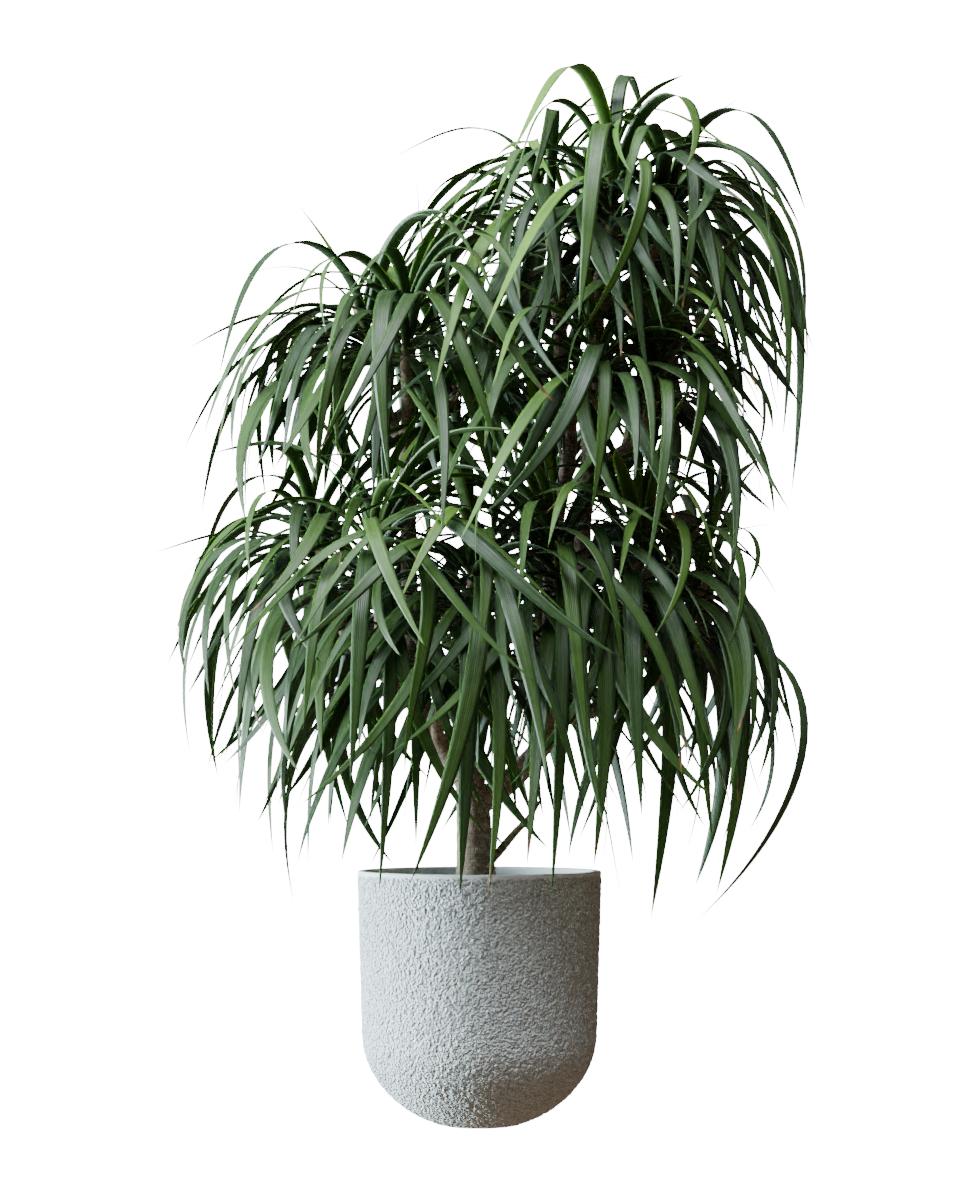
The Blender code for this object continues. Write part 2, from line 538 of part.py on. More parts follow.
def object_of(name, shape, finish=None, collection=None):
    """An object made from a bmesh, which is freed."""
    mesh = bpy.data.meshes.new(name)
    shape.to_mesh(mesh)
    shape.free()
    made = bpy.data.objects.new(name, mesh)
    (collection or bpy.context.scene.collection).objects.link(made)
    if finish:
        mesh.materials.append(finish)
    return made


def shape_of(vertices, faces):
    """A bmesh of vertices and the triangles between them."""
    shape = bmesh.new()
    corners = [shape.verts.new(vertex) for vertex in vertices]
    for face in faces:
        shape.faces.new([corners[k] for k in face])
    return shape


def trunk_hole():
    """The trunk's own tube, a gap wider and deeper."""
    trunk = BRANCHES["trunk"]
    foot, *rest = trunk["points"]
    radii = [radius + 1.2 * GAP for radius in trunk["radius"]]
    return woody_tube([Vector(foot) - Vector((0, 0, GAP)), *rest], radii, TRUNK_SIDES)


def fill_cavities(shape):
    """Removes the small closed voids that crossing blades can leave inside a solid."""
    waiting, shells = set(shape.faces), []
    while waiting:
        shell, reached = [], [waiting.pop()]
        while reached:
            face = reached.pop()
            shell.append(face)
            near = {other for edge in face.edges for other in edge.link_faces} & waiting
            waiting -= near
            reached += near
        shells.append(shell)
    shells.sort(key=len)
    for shell in shells[:-1]:
        bmesh.ops.delete(shape, geom=shell, context="FACES")


def combined(made, operation, **operand):
    """Applies a Boolean to an object, fills its voids and joins the slivers of its flat faces."""
    boolean = made.modifiers.new(operation.lower(), "BOOLEAN")
    boolean.operation = operation
    boolean.solver = "MANIFOLD"
    for key, value in operand.items():
        setattr(boolean, key, value)
    graph = bpy.context.evaluated_depsgraph_get()
    shape = bmesh.new()
    shape.from_mesh(made.evaluated_get(graph).data)
    made.modifiers.clear()
    fill_cavities(shape)
    bmesh.ops.dissolve_limit(shape, angle_limit=FLAT_ANGLE, verts=shape.verts, edges=shape.edges)
    bmesh.ops.triangulate(shape, faces=shape.faces)
    shape.to_mesh(made.data)
    shape.free()
    return made


def fused(name, solids, finish):
    """One object that is the union of several closed solids."""
    first, *others = solids
    made = object_of(name, shape_of(*first), finish)
    repeats = bpy.data.collections.new(name + "_repeats")
    bpy.context.scene.collection.children.link(repeats)
    for k, solid in enumerate(others):
        object_of(f"{name}_repeat_{k}", shape_of(*solid), None, repeats)
    combined(made, "UNION", operand_type="COLLECTION", collection=repeats)
    for repeat in list(repeats.objects):
        bpy.data.objects.remove(repeat)
    bpy.data.collections.remove(repeats)
    return made


def place_blades(stems, pot, wood):
    """The course of every blade, by head. One that strays too far or would cross something is redrawn."""
    graph = bpy.context.evaluated_depsgraph_get()
    fixed = [BVHTree.FromObject(solid, graph) for solid in (pot, wood)]
    whole_trees = {name: tree_of([stem]) for name, stem in stems.items()}
    free_trees = {}
    placed = {name: [] for name in HEADS}

    def is_in_reach(course, tier, is_set):
        for point, *_ in course:
            if not all(REACH_LOW[k] <= point[k] <= REACH_HIGH[k] for k in range(3)):
                return False
            if not is_set:
                if point.z < LOWEST[tier]:
                    return False
                rows = zip(CROWN_REACH, CROWN_REACH[1:])
                above, below = next(pair for pair in rows if point.z >= pair[1][0])
                t = (point.z - below[0]) / (above[0] - below[0])
                left, right, deep = (b + (a - b) * t for a, b in zip(above[1:], below[1:]))
                level = (2 * point.x - left - right) / (right - left)
                if abs(level) ** 3 + abs(point.y / deep) ** 3 > 1:
                    return False
        return True

    def is_clear(name, course):
        others = [tree for other, tree in whole_trees.items() if other != name]
        for clearance in BLADE_CLEARANCES:
            whole = tree_of([blade_mesh(course, clearance)])
            free = tree_of([blade_mesh(course, clearance, False)])
            if any(whole.overlap(tree) for tree in [*fixed, *others]):
                return False
            if name in free_trees and free.overlap(free_trees[name]):
                return False
        return True

    def place(name, make, rank):
        for attempt in range(BLADE_TRIES):
            course = make(name, rank, attempt)
            if is_in_reach(course, name.split("_")[0], make is reaching_blade) and is_clear(name, course):
                placed[name].append(course)
                whole_trees[name] = tree_of([stems[name]] + [blade_mesh(blade) for blade in placed[name]])
                free_trees[name] = tree_of([blade_mesh(blade, 0.0, False) for blade in placed[name]])
                return

    for name, reaching in REACHING.items():
        for rank in range(len(reaching)):
            place(name, reaching_blade, rank)
    for rank in range(max(head["blades"] for head in HEADS.values())):
        for name, head in HEADS.items():
            if rank < head["blades"] - len(REACHING.get(name, ())):
                place(name, drawn_blade, rank)
    return placed


def build():
    for leftover in list(bpy.data.objects):
        bpy.data.objects.remove(leftover)

    pot = turned("pot", pot_profile(), material("textured_white", POT_COLOUR, 0.80))
    pot.data.shade_smooth()
    pot.data.set_sharp_from_angle(angle=POT_SHARP_ANGLE)

    soil = turned("soil", soil_profile(), material("soil", SOIL_COLOUR, 0.95))
    hole = object_of("trunk_hole", shape_of(*trunk_hole()))
    combined(soil, "DIFFERENCE", object=hole)
    bpy.data.objects.remove(hole)

    wood = fused("trunk_and_branches", branch_tubes(), material("bark", BARK_COLOUR, 0.85))

    leaf = material("leaf", LEAF_COLOUR, 0.40)
    stems = {name: head_stem(name) for name in HEADS}
    for name, courses in place_blades(stems, pot, wood).items():
        fused("leaf_head_" + name, [stems[name], *map(blade_mesh, courses)], leaf)
        print(name, len(courses), "blades")


build()
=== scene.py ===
import math
import random

import bpy
import numpy as np
from mathutils import Matrix, Quaternion, Vector, noise
from mathutils.bvhtree import BVHTree


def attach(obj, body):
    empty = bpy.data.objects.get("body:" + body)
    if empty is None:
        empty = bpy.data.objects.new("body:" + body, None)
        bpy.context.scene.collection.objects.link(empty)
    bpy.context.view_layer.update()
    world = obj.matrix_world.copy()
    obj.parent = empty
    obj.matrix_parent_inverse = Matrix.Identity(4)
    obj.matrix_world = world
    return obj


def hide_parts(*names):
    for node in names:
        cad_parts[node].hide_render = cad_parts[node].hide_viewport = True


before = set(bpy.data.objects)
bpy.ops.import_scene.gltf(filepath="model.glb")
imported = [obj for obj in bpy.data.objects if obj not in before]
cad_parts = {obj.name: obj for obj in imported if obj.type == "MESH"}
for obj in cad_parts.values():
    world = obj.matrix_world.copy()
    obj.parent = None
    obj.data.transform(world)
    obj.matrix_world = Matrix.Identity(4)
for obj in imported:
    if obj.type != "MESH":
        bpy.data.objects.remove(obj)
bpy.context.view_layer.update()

# Shared functions


def linear(code):  # sRGB hex to linear colour
    parts = [int(code[k:k + 2], 16) / 255 for k in (1, 3, 5)]
    return [c / 12.92 if c <= 0.04045 else ((c + 0.055) / 1.055) ** 2.4 for c in parts] + [1.0]


def addNode(tree, kind, settings, which=0):  # properties by name, sockets by name or number, colours in hex
    node = tree.nodes.new("ShaderNode" + kind)
    for key, value in settings.items():
        if isinstance(value, bpy.types.NodeSocket):
            tree.links.new(value, node.inputs[key])
        elif isinstance(key, str) and hasattr(node, key):
            setattr(node, key, value)
        else:
            node.inputs[key].default_value = linear(value) if isinstance(value, str) else value
    return node.outputs[which]


def newMaterial(name, **sockets):  # a Principled material, its tree and its shader
    made = bpy.data.materials.new(name)
    made.use_nodes = True
    shader = made.node_tree.nodes["Principled BSDF"]
    for key, value in sockets.items():
        value = linear(value) if isinstance(value, str) else value
        shader.inputs[key.replace("_", " ")].default_value = value
    return made, made.node_tree, shader


def newObject(name, data):
    made = bpy.data.objects.new(name, data)
    bpy.context.scene.collection.objects.link(made)
    return made


def meshObject(name, vertices, faces, materials, attributes=None, slots=None, smooth=True):
    mesh = bpy.data.meshes.new(name)
    mesh.from_pydata(vertices, [], faces)
    for key, values in (attributes or {}).items():
        values = np.asarray(values, dtype=np.float32)
        kind, field = ("FLOAT", "value") if values.ndim == 1 else ("FLOAT_VECTOR", "vector")
        mesh.attributes.new(key, kind, "POINT").data.foreach_set(field, values.ravel())
    for made in materials:
        mesh.materials.append(made)
    if slots is not None:
        mesh.polygons.foreach_set("material_index", slots)
    mesh.polygons.foreach_set("use_smooth", [smooth] * len(mesh.polygons))
    mesh.update()
    return newObject(name, mesh)


def wallFaces(rows, sides, start=0, turned=False):  # between closed rows of corners
    pairs = [(start + k * sides + j, start + k * sides + (j + 1) % sides)
             for k in range(rows - 1) for j in range(sides)]
    return [(a, a + sides, b + sides, b) if turned else (a, b, b + sides, a + sides) for a, b in pairs]


def tubeFaces(rows, sides):  # a wall and its two ends
    last = (rows - 1) * sides
    return wallFaces(rows, sides) + [tuple(range(sides))[::-1], tuple(range(last, last + sides))]


def joined(meshes):  # many lists of corners and faces as one
    vertices, faces = [], []
    for partVertices, partFaces in meshes:
        start = len(vertices)
        vertices += partVertices
        faces += [tuple(start + corner for corner in face) for face in partFaces]
    return vertices, faces


def unitRing(sides):  # where the corners of a level ring of radius 1 lie
    return [(math.cos(math.tau * k / sides), math.sin(math.tau * k / sides)) for k in range(sides)]


# Studio: camera, floor, backdrop, room and lamps

studio = {
    "photoScale": 603.8,  # photo pixels to a metre at the planter's axis
    "photoHeight": 1200,
    "sensor": 36,
    "cameraAway": 5.0,
    "cameraHeight": 0.594,
    "cameraSide": 0.0008,
    "cameraTilt": 3.08,  # degrees up
    "lampAim": (0, 0, 0.8),
    "reach": 45,  # radius of the floor and the backdrop
    "floorColour": "#f5f3f0",
    "floorGlow": 16.5,
    "backdropGlow": 20.0,
    "windowSide": "#cfe8f4",  # what the room sends back, by direction
    "shadeSide": "#43453a",
    "below": "#a8927c",
    "roomGlow": 0.62,
}

# Far lamps: name, strength, colour, place and width in degrees
lights = [
    ("windowLight", 16.0, "#d9f1fa", (-6.0, 0.6, 1.0), 32),
    ("overheadLight", 10.0, "#e6f0fb", (-0.8, -1.4, 6.0), 50),
]


def buildCamera():
    camera = bpy.data.cameras.new("camera")
    camera.sensor_width = studio["sensor"]
    camera.lens = studio["photoScale"] * studio["cameraAway"] * camera.sensor_width / studio["photoHeight"]
    seen = newObject("camera", camera)
    seen.location = (studio["cameraSide"], -studio["cameraAway"], studio["cameraHeight"])
    seen.rotation_euler = (math.radians(90 + studio["cameraTilt"]), 0, 0)
    bpy.context.scene.camera = seen


def buildBackdrop(edge=96, rings=24, sides=64):
    # Matt floor paint, near white: it glows like the backdrop, so that no edge shows
    paint, *_ = newMaterial("paleFloor", Roughness=0.9, Base_Color=studio["floorColour"],
                            Emission_Color="#ffffff", Emission_Strength=studio["floorGlow"])
    reach = studio["reach"]
    corners = [(reach * x, reach * y, 0) for x, y in unitRing(edge)]
    floor = meshObject("floor", corners, [list(range(edge))], [paint], smooth=False)

    # Backdrop paper lit from behind: an even white
    paper, *_ = newMaterial("backdropPaper", Roughness=1.0, Specular_IOR_Level=0.0, Base_Color="#000000",
                            Emission_Color="#ffffff", Emission_Strength=studio["backdropGlow"])
    vertices = []
    for k in range(rings):
        pitch = math.pi * (k / (rings - 1) - 0.5)
        level = reach * math.cos(pitch)
        vertices += [(level * x, level * y, reach * math.sin(pitch)) for x, y in unitRing(sides)]
    backdrop = meshObject("backdrop", vertices, wallFaces(rings, sides, turned=True), [paper])
    for piece in (floor, backdrop):  # neither lights the plant
        piece.visible_diffuse = piece.visible_glossy = piece.visible_transmission = False
        piece.visible_shadow = False


def buildLight():  # a room bright at one side, dim at the other and warm below, and two lamps
    world = bpy.data.worlds.new("studioRoom")
    bpy.context.scene.world = world
    world.use_nodes = True
    tree = world.node_tree
    room = tree.nodes["Background"]
    room.inputs["Strength"].default_value = studio["roomGlow"]
    place = addNode(tree, "TexCoord", {}, "Generated")
    window = Vector(lights[0][3]).normalized()
    facing = addNode(tree, "VectorMath", {"operation": "DOT_PRODUCT", 0: place, 1: window}, "Value")
    upward = addNode(tree, "SeparateXYZ", {0: place}, "Z")
    colour = studio["shadeSide"]
    for value, low, high, over in ((facing, -0.5, 1.0, "windowSide"), (upward, 0.1, -0.3, "below")):
        share = addNode(tree, "MapRange", {"interpolation_type": "SMOOTHSTEP", 0: value, 1: low, 2: high})
        colour = addNode(tree, "Mix", {"data_type": "RGBA", 0: share, 6: colour, 7: studio[over]}, 2)
    tree.links.new(colour, room.inputs["Color"])

    for name, strength, colour, place, width in lights:
        lamp = bpy.data.lights.new(name, "SUN")
        lamp.energy = strength
        lamp.color = linear(colour)[:3]
        lamp.angle = math.radians(width)
        made = newObject(name, lamp)
        made.location = place
        aim = Vector(studio["lampAim"]) - Vector(place)
        made.rotation_euler = aim.to_track_quat("-Z", "Y").to_euler()


buildCamera()
buildBackdrop()
buildLight()
print("studio ready")

# The plant: its branches and heads, as the frame has them

def named(keys, rows):  # rows of values as dictionaries with these keys
    return {name: dict(zip(keys, row)) for name, row in rows.items()}


# Each branch: its radius at both ends, the head that it runs on to, if any, and the points it passes through
branches = named(("radius", "head", "points"), {
    "trunk": ((0.042, 0.0235), None,
        [(-0.008, 0, 0.238), (-0.006, 0, 0.4), (-0.01, 0.002, 0.5), (-0.017, 0, 0.586)]),
    "leftLimb": ((0.018, 0.015), None,
        [(-0.018, 0, 0.56), (-0.06, 0, 0.618), (-0.096, 0.006, 0.668), (-0.118, 0.012, 0.725)]),
    "rightLimb": ((0.02, 0.016), None,
        [(-0.014, 0, 0.52), (0.04, 0, 0.556), (0.096, 0.004, 0.612), (0.142, 0.006, 0.69)]),
    "leftStem": ((0.015, 0.0125), None,
        [(-0.108, 0.01, 0.7), (-0.116, 0.03, 0.83), (-0.119, 0.032, 1), (-0.124, 0.028, 1.15)]),
    "rightStem": ((0.0155, 0.0135), None,
        [(0.14, 0.006, 0.675), (0.166, 0.03, 0.82), (0.174, 0.034, 1.01), (0.186, 0.03, 1.135)]),
    "secondStem": ((0.0135, 0.012), "top_left",
        [(0.128, 0.008, 0.655), (0.118, 0.04, 0.86), (0.131, 0.052, 1.01), (0.152, 0.07, 1.13),
         (0.138, 0.076, 1.3)]),
    "crownStem": ((0.013, 0.012), "top_centre",
        [(0.184, 0.03, 1.12), (0.19, 0.04, 1.22), (0.196, 0.03, 1.34), (0.202, 0.02, 1.4)]),
})

# Each head: the middle of its leafy stem, how it leans, the most main leaves it can have, how long they grow
# and, unless a branch runs on to it, its twig's radius and points
heads = named(("middle", "lean", "blades", "length", "twigRadius", "twig"), {
    "top_centre": ((0.222, -0.01, 1.515), (0.05, -0.12), 21, 0.5),
    "top_right": ((0.312, 0.03, 1.515), (0.25, 0.02), 21, 0.5, 0.0105,
        [(0.196, 0.028, 1.35), (0.262, 0.022, 1.405)]),
    "top_left": ((0.112, 0.04, 1.505), (-0.25, -0.05), 22, 0.5),
    "top_back": ((0.205, 0.165, 1.43), (0.05, 0.45), 16, 0.46, 0.0105,
        [(0.196, 0.034, 1.29), (0.202, 0.11, 1.34)]),
    "upper_left_front": ((-0.118, -0.05, 1.3), (0.05, -0.3), 20, 0.48, 0.011,
        [(-0.123, 0.026, 1.13), (-0.119, 0, 1.18)]),
    "upper_left_outer": ((-0.19, 0.06, 1.31), (-0.35, 0.12), 21, 0.48, 0.011,
        [(-0.123, 0.028, 1.12), (-0.152, 0.042, 1.175)]),
    "upper_left_inner": ((-0.035, 0.06, 1.24), (0.35, 0.25), 16, 0.42, 0.0105,
        [(-0.123, 0.028, 1.085), (-0.085, 0.04, 1.14)]),
    "middle_front": ((0.19, -0.12, 1.215), (-0.05, -0.4), 20, 0.48, 0.011,
        [(0.184, 0.028, 1.06), (0.188, -0.05, 1.115)]),
    "middle_right": ((0.29, -0.03, 1.2), (0.35, -0.1), 20, 0.48, 0.011,
        [(0.184, 0.03, 1.085), (0.245, 0, 1.115)]),
    "middle_back": ((0.262, 0.15, 1.18), (0.2, 0.4), 16, 0.46, 0.0105,
        [(0.182, 0.033, 1.04), (0.215, 0.09, 1.08)]),
    "low_left_outer": ((-0.262, 0.02, 0.93), (-0.35, 0.05), 23, 0.54, 0.012,
        [(-0.108, 0.01, 0.7), (-0.165, 0.008, 0.745), (-0.22, 0.014, 0.805)]),
    "low_left_front": ((-0.168, -0.11, 0.9), (-0.1, -0.35), 21, 0.56, 0.011,
        [(-0.13, 0.01, 0.722), (-0.158, -0.04, 0.78)]),
    "low_left_back": ((-0.16, 0.17, 0.85), (-0.25, 0.45), 17, 0.54, 0.0105,
        [(-0.11, 0.012, 0.69), (-0.14, 0.085, 0.73)]),
    "low_centre_front": ((-0.012, -0.15, 0.87), (0.05, -0.35), 20, 0.56, 0.0125,
        [(-0.018, 0, 0.575), (-0.016, -0.05, 0.66), (-0.012, -0.11, 0.76)]),
    "low_centre_inner": ((-0.076, -0.06, 0.77), (-0.2, -0.25), 18, 0.46, 0.0105,
        [(-0.066, 0, 0.618), (-0.07, -0.025, 0.66)]),
    "low_right_inner": ((0.128, -0.1, 0.9), (-0.05, -0.3), 20, 0.56, 0.0115,
        [(0.11, 0.006, 0.64), (0.122, -0.05, 0.74)]),
    "low_right_front": ((0.25, -0.095, 0.88), (0.2, -0.3), 20, 0.56, 0.0115,
        [(0.14, 0.006, 0.68), (0.195, -0.035, 0.74)]),
    "low_right_outer": ((0.35, -0.01, 0.835), (0.4, -0.05), 21, 0.55, 0.0125,
        [(0.128, 0.006, 0.665), (0.22, 0.004, 0.69), (0.295, 0, 0.74)]),
    "low_right_upper": ((0.31, 0.095, 0.89), (0.25, 0.3), 17, 0.48, 0.011,
        [(0.2, 0.006, 0.685), (0.25, 0.045, 0.75)]),
    "low_right_back": ((0.11, 0.18, 0.84), (0.05, 0.45), 17, 0.54, 0.0105,
        [(0.1, 0.008, 0.62), (0.108, 0.1, 0.7)]),
})

# Main leaves set one by one: azimuth, pitch, droop, length, height on the leafy stem, lean, tuck and
# limpness. Azimuth 0 points to +X and -90 to the front.
reaching = {
    "top_centre": [
        (-109, 62, 2.5, 0.57, 0.94, -0.15, -0.08, 1.8), (75, 86, 4.1, 0.44, 0.59, 0, 0.05, 1.6),
        (-97, 48, 3.3, 0.61, 0.7, -0.1, 0.08, 1.5), (-110, -5, 1.0, 0.62, 0.95, -0.19, 0.14, 1.2),
        (-67, 27, 2.0, 0.5, 0.25, -0.26, 0.07, 1.2), (-63, 39, 3.8, 0.53, 0.62, -0.67, 0.27, 1.3),
        (-111, 48, 2.3, 0.54, 0.39, 0.09, 0.04, 1.3)],
    "top_right": [
        (-104, 63, 3.2, 0.41, 0.67, -0.09, 0.05, 1.5), (-74, 35, 2.6, 0.44, 0.04, -0.02, -0.23, 1.1),
        (-78, 44, 3.1, 0.5, 0.51, -0.22, 0.09, 1.4), (-39, 78, 3.5, 0.5, 0.41, 0.03, 0.04, 1.5),
        (10, 66, 0.9, 0.2, 0.92, 0, 0, 1.2), (-55, 51, 2.0, 0.32, 0.42, -0.23, 0.14, 0.8),
        (49, 35, 2.2, 0.61, 0.32, 0.07, 0.05, 1.2), (51, 44, 2.7, 0.63, 0.59, -0.25, -0.02, 1.6),
        (-54, 18, 2.3, 0.6, 0.3, -0.19, 0.08, 1.1), (38, 34, 3.3, 0.65, 0.62, 0.11, 0.2, 1.5),
        (31, 24, 3.8, 0.72, 0.84, 0.08, 0.17, 1.7)],
    "top_left": [
        (153, 79, 2.8, 0.41, 0.3, 0.04, 0, 1.8), (137, 84, 3.6, 0.34, 0.22, 0.17, -0.04, 2.3),
        (150, 76, 0.4, 0.26, 0.9, 0.1, 0, 1.4), (126, 43, 1.3, 0.49, 0.43, 0.18, 0.01, 1.7),
        (-82, 63, 2.9, 0.55, 0.27, -0.35, 0.18, 1.0), (-115, -14, 1.1, 0.57, 0.81, -0.01, 0.04, 1.2)],
    "upper_left_inner": [
        (-159, 75, 0.3, 0.37, 0.23, 0.12, 0.33, 1.4), (-85, 48, 2.6, 0.52, 0.3, 0.22, 0.05, 1.4)],
    "upper_left_outer": [
        (-141, 76, 3.7, 0.58, 0.04, 0.03, 0.17, 1.7), (120, 11, 0.6, 0.42, 0.95, -0.29, 0.13, 1.2),
        (155, 36, 1.1, 0.39, 0.28, 0.01, 0.03, 1.4), (166, 32, 2.4, 0.45, 0.04, 0.26, -0.04, 0.8),
        (162, 29, 2.7, 0.49, 0.04, 0.26, 0.15, 0.9), (-145, 0, 1.8, 0.53, 0.04, 0.53, 0.27, 0.6),
        (165, 66, 0.5, 0.22, 0.9, -0.1, 0, 1.3), (170, 52, 1.4, 0.26, 0.85, 0, 0.05, 1.3),
        (-102, -9, 0.7, 0.5, 0.3, -0.2, 0, 1.4)],
    "upper_left_front": [
        (-79, 28, 2.1, 0.61, 0.24, -0.62, 0.2, 0.7), (-90, 41, 2.9, 0.55, 0.04, -0.29, 0.04, 1.4),
        (61, 13, 0.3, 0.25, 0.51, -0.02, 0.04, 1.4), (-75, -4, 1.3, 0.6, 0.27, -0.18, 0.04, 1.2),
        (-89, 27, 3.0, 0.55, 0.5, 0.15, 0.05, 1.4)],
    "middle_front": [
        (-101, 0, 1.0, 0.57, 0.67, -0.2, 0.02, 1.4), (114, 31, 1.6, 0.55, 0.32, -0.15, 0.07, 1.2),
        (-77, 18, 1.4, 0.49, 0.22, -0.21, 0.05, 1.3), (-71, 29, 1.9, 0.48, 0.27, -0.22, 0.06, 1.2),
        (109, 14, 0.3, 0.2, 0.91, -0.14, 0.05, 1.4), (-81, 24, 3.0, 0.4, 0.49, -0.18, 0.08, 1.4)],
    "middle_right": [
        (-81, 39, 2.9, 0.59, 0.04, -0.25, 0.13, 1.4), (-84, 32, 2.0, 0.62, 0.43, 0.46, 0.08, 1.5),
        (-61, 3, 1.5, 0.52, 0.35, -0.32, 0.15, 1.1)],
    "low_left_outer": [
        (154, 81, 4.3, 0.55, 0.04, -0.08, 0.17, 1.8), (176, 53, 1.5, 0.35, 0.04, 0.05, -0.1, 2.1),
        (143, 37, 1.9, 0.49, 0.04, 0.01, -0.04, 1.2), (158, 18, 2.9, 0.52, 0.04, -0.3, 0.26, 1.1),
        (-111, 12, 1.8, 0.54, 0.35, 0.07, 0.07, 1.2)],
    "low_left_front": [
        (-92, 26, 3.0, 0.58, 0.48, -0.06, 0.05, 1.4), (-108, 31, 2.6, 0.49, 0.44, -0.01, 0.05, 1.3),
        (117, 17, 0.3, 0.35, 0.5, -0.09, 0.08, 1.3), (-80, -2, 3.4, 0.63, 0.49, -0.09, 0.01, 1.5)],
    "low_centre_inner": [
        (163, 4, 2.7, 0.56, 0.04, -0.22, 0.3, 0.7), (-110, -9, 0.8, 0.55, 0.09, 0.12, 0.06, 1.2)],
    "low_left_back": [
        (-160, 30, 3.0, 0.52, 0.3, 0.1, 0.2, 1.2), (156, 26, 2.4, 0.51, 0.04, 0.11, 0.06, 0.9)],
    "low_centre_front": [
        (-81, 13, 3.6, 0.66, 0.57, -0.44, 0.01, 1.5), (-90, -4, 3.1, 0.6, 0.47, -0.06, 0.05, 1.4),
        (-75, -17, 2.4, 0.58, 0.46, -0.13, 0.12, 1.2), (-79, 56, 3.2, 0.41, 0.57, -0.17, 0.07, 1.4)],
    "low_right_inner": [
        (-89, 34, 2.8, 0.56, 0.42, 0.11, 0.05, 1.4), (-62, 48, 3.5, 0.45, 0.57, -0.27, 0.15, 1.4),
        (-70, 3, 3.1, 0.62, 0.5, -0.14, 0.09, 1.4), (-96, -17, 1.3, 0.61, 0.2, -0.06, 0.05, 1.1),
        (-92, 1, 3.0, 0.64, 0.5, -0.08, 0.05, 1.4)],
    "low_right_front": [
        (-71, -9, 3.5, 0.63, 0.47, -0.18, 0.04, 1.5), (-94, 20, 3.0, 0.58, 0.5, 0.06, 0.05, 1.4),
        (-111, 24, 3.3, 0.63, 0.5, 0.27, 0.09, 1.4)],
    "low_right_outer": [
        (-60, 4, 2.4, 0.48, 0.04, -0.78, 0.31, 0.7), (-72, -3, 2.6, 0.6, 0.4, -0.29, 0.18, 1.2),
        (-34, 3, 4.1, 0.72, 0.16, -0.8, 0.9, 0.6)],
    "low_right_upper": [
        (-69, 41, 3.1, 0.55, 0.55, 0.34, -0.11, 1.6), (60, 36, 2.0, 0.49, 0.38, -0.13, 0, 1.4),
        (43, 56, 1.3, 0.34, 0.04, -0.13, -0.05, 2.5), (-51, 28, 1.2, 0.33, 0.14, -0.37, 0.23, 0.6)],
}

leafRule = {
    "stemRadius": 0.0105,
    "stemLength": 0.115,
    "rootReach": 0.0055,
    "goldenAngle": math.radians(137.508),
    "steps": 48,
    "stations": (3, 13, 23, 34),  # steps at which the frame's blades have corners
    "width": (0.0195, 0.0315),
    "keel": (0.0034, 0.0012),
    "clearances": (0.0, 0.0006, 0.0012),
    "tries": 60,
    "reachLow": (-0.552, -0.52, 0.33),
    "reachHigh": (0.6, 0.48, 1.765),
    "droop": {"top": (1.7, 3.3), "upper": (1.7, 3.3), "middle": (1.8, 3.4), "low": (1.5, 3.0)},
    "lowest": {"top": 1.12, "upper": 0.99, "middle": 0.96, "low": 0.36},
    "fillers": {"top": 44, "upper": 42, "middle": 42, "low": 46},  # most leaves a head has only here
    "fillerTries": 24,
    "grownAt": (0.1, 0.5),  # growth of a bud leaf, and the age that adds the rest
    "young": {"droop": 0.45, "length": 0.4, "width": 0.62},  # a bud leaf's, as shares of a grown leaf's
    "pitch": (82, 74, 0.85, 13),  # degrees: a bud leaf's, its fall with age, the fall's power and the stray
    "turn": (0.1, 0.6),  # how far the azimuth strays at the first try, and how much more at the last
    "upright": 0.4,  # share of the head's lean that its leaves don't follow
    "root": (0.06, 0.9),  # height on the leafy stem of the oldest leaf, and how much higher a bud leaf is
    "tuck": (-0.05, 0.3),
    "limp": (0.8, 1.9),
    "lean": 0.9,  # most that a drawn leaf strays, each way
    "sway": 0.4,
    "curl": 0.8,
    "twist": 0.7,
    "lengths": (0.78, 1.2),
    "redraw": (0.3, 0.2, 0.4),  # stray of a reaching leaf: azimuth and pitch in degrees a try, and its twist
}


# Height, and how far the drawn leaves reach to the left, the right and the front there
crownReach = [
    (1.8, 0.12, 0.32, 0.1), (1.7, 0.06, 0.38, 0.2), (1.64, 0.02, 0.46, 0.28), (1.56, -0.06, 0.52, 0.36),
    (1.48, -0.16, 0.53, 0.4), (1.4, -0.3, 0.54, 0.42), (1.32, -0.4, 0.55, 0.44), (1.22, -0.45, 0.55, 0.44),
    (1.12, -0.46, 0.52, 0.42), (1.0, -0.43, 0.5, 0.38), (0.92, -0.5, 0.5, 0.42), (0.8, -0.53, 0.51, 0.46),
    (0.7, -0.51, 0.52, 0.46), (0.6, -0.47, 0.53, 0.46), (0.5, -0.4, 0.49, 0.44), (0.42, -0.32, 0.44, 0.4),
    (0.3, -0.28, 0.38, 0.36),
]


def axisOf(name):
    return Vector((*heads[name]["lean"], 1.0)).normalized()


def baseOf(name):
    return Vector(heads[name]["middle"]) - axisOf(name) * leafRule["stemLength"] / 2


def tierOf(name):
    return name.split("_")[0]


def toward(azimuth, pitch):
    level = math.cos(pitch)
    return Vector((math.cos(azimuth) * level, math.sin(azimuth) * level, math.sin(pitch)))


def leafShape(s):  # share of its full width that a leaf has at a share s of its length
    base = 0.42 + 0.58 * math.sin(math.pi / 2 * min(1.0, s / 0.45))
    return base * max(0.0, 1 - max(0.0, (s - 0.46) / 0.54) ** 1.7)


def bendShares(limp):  # how a leaf's bend is shared out: the limper, the nearer its root
    steps = leafRule["steps"]
    shares = [(s + 0.05) * (1 - s) ** limp for s in ((k + 0.5) / steps for k in range(steps))]
    whole = sum(shares)
    return [share / whole for share in shares] + [0.0]


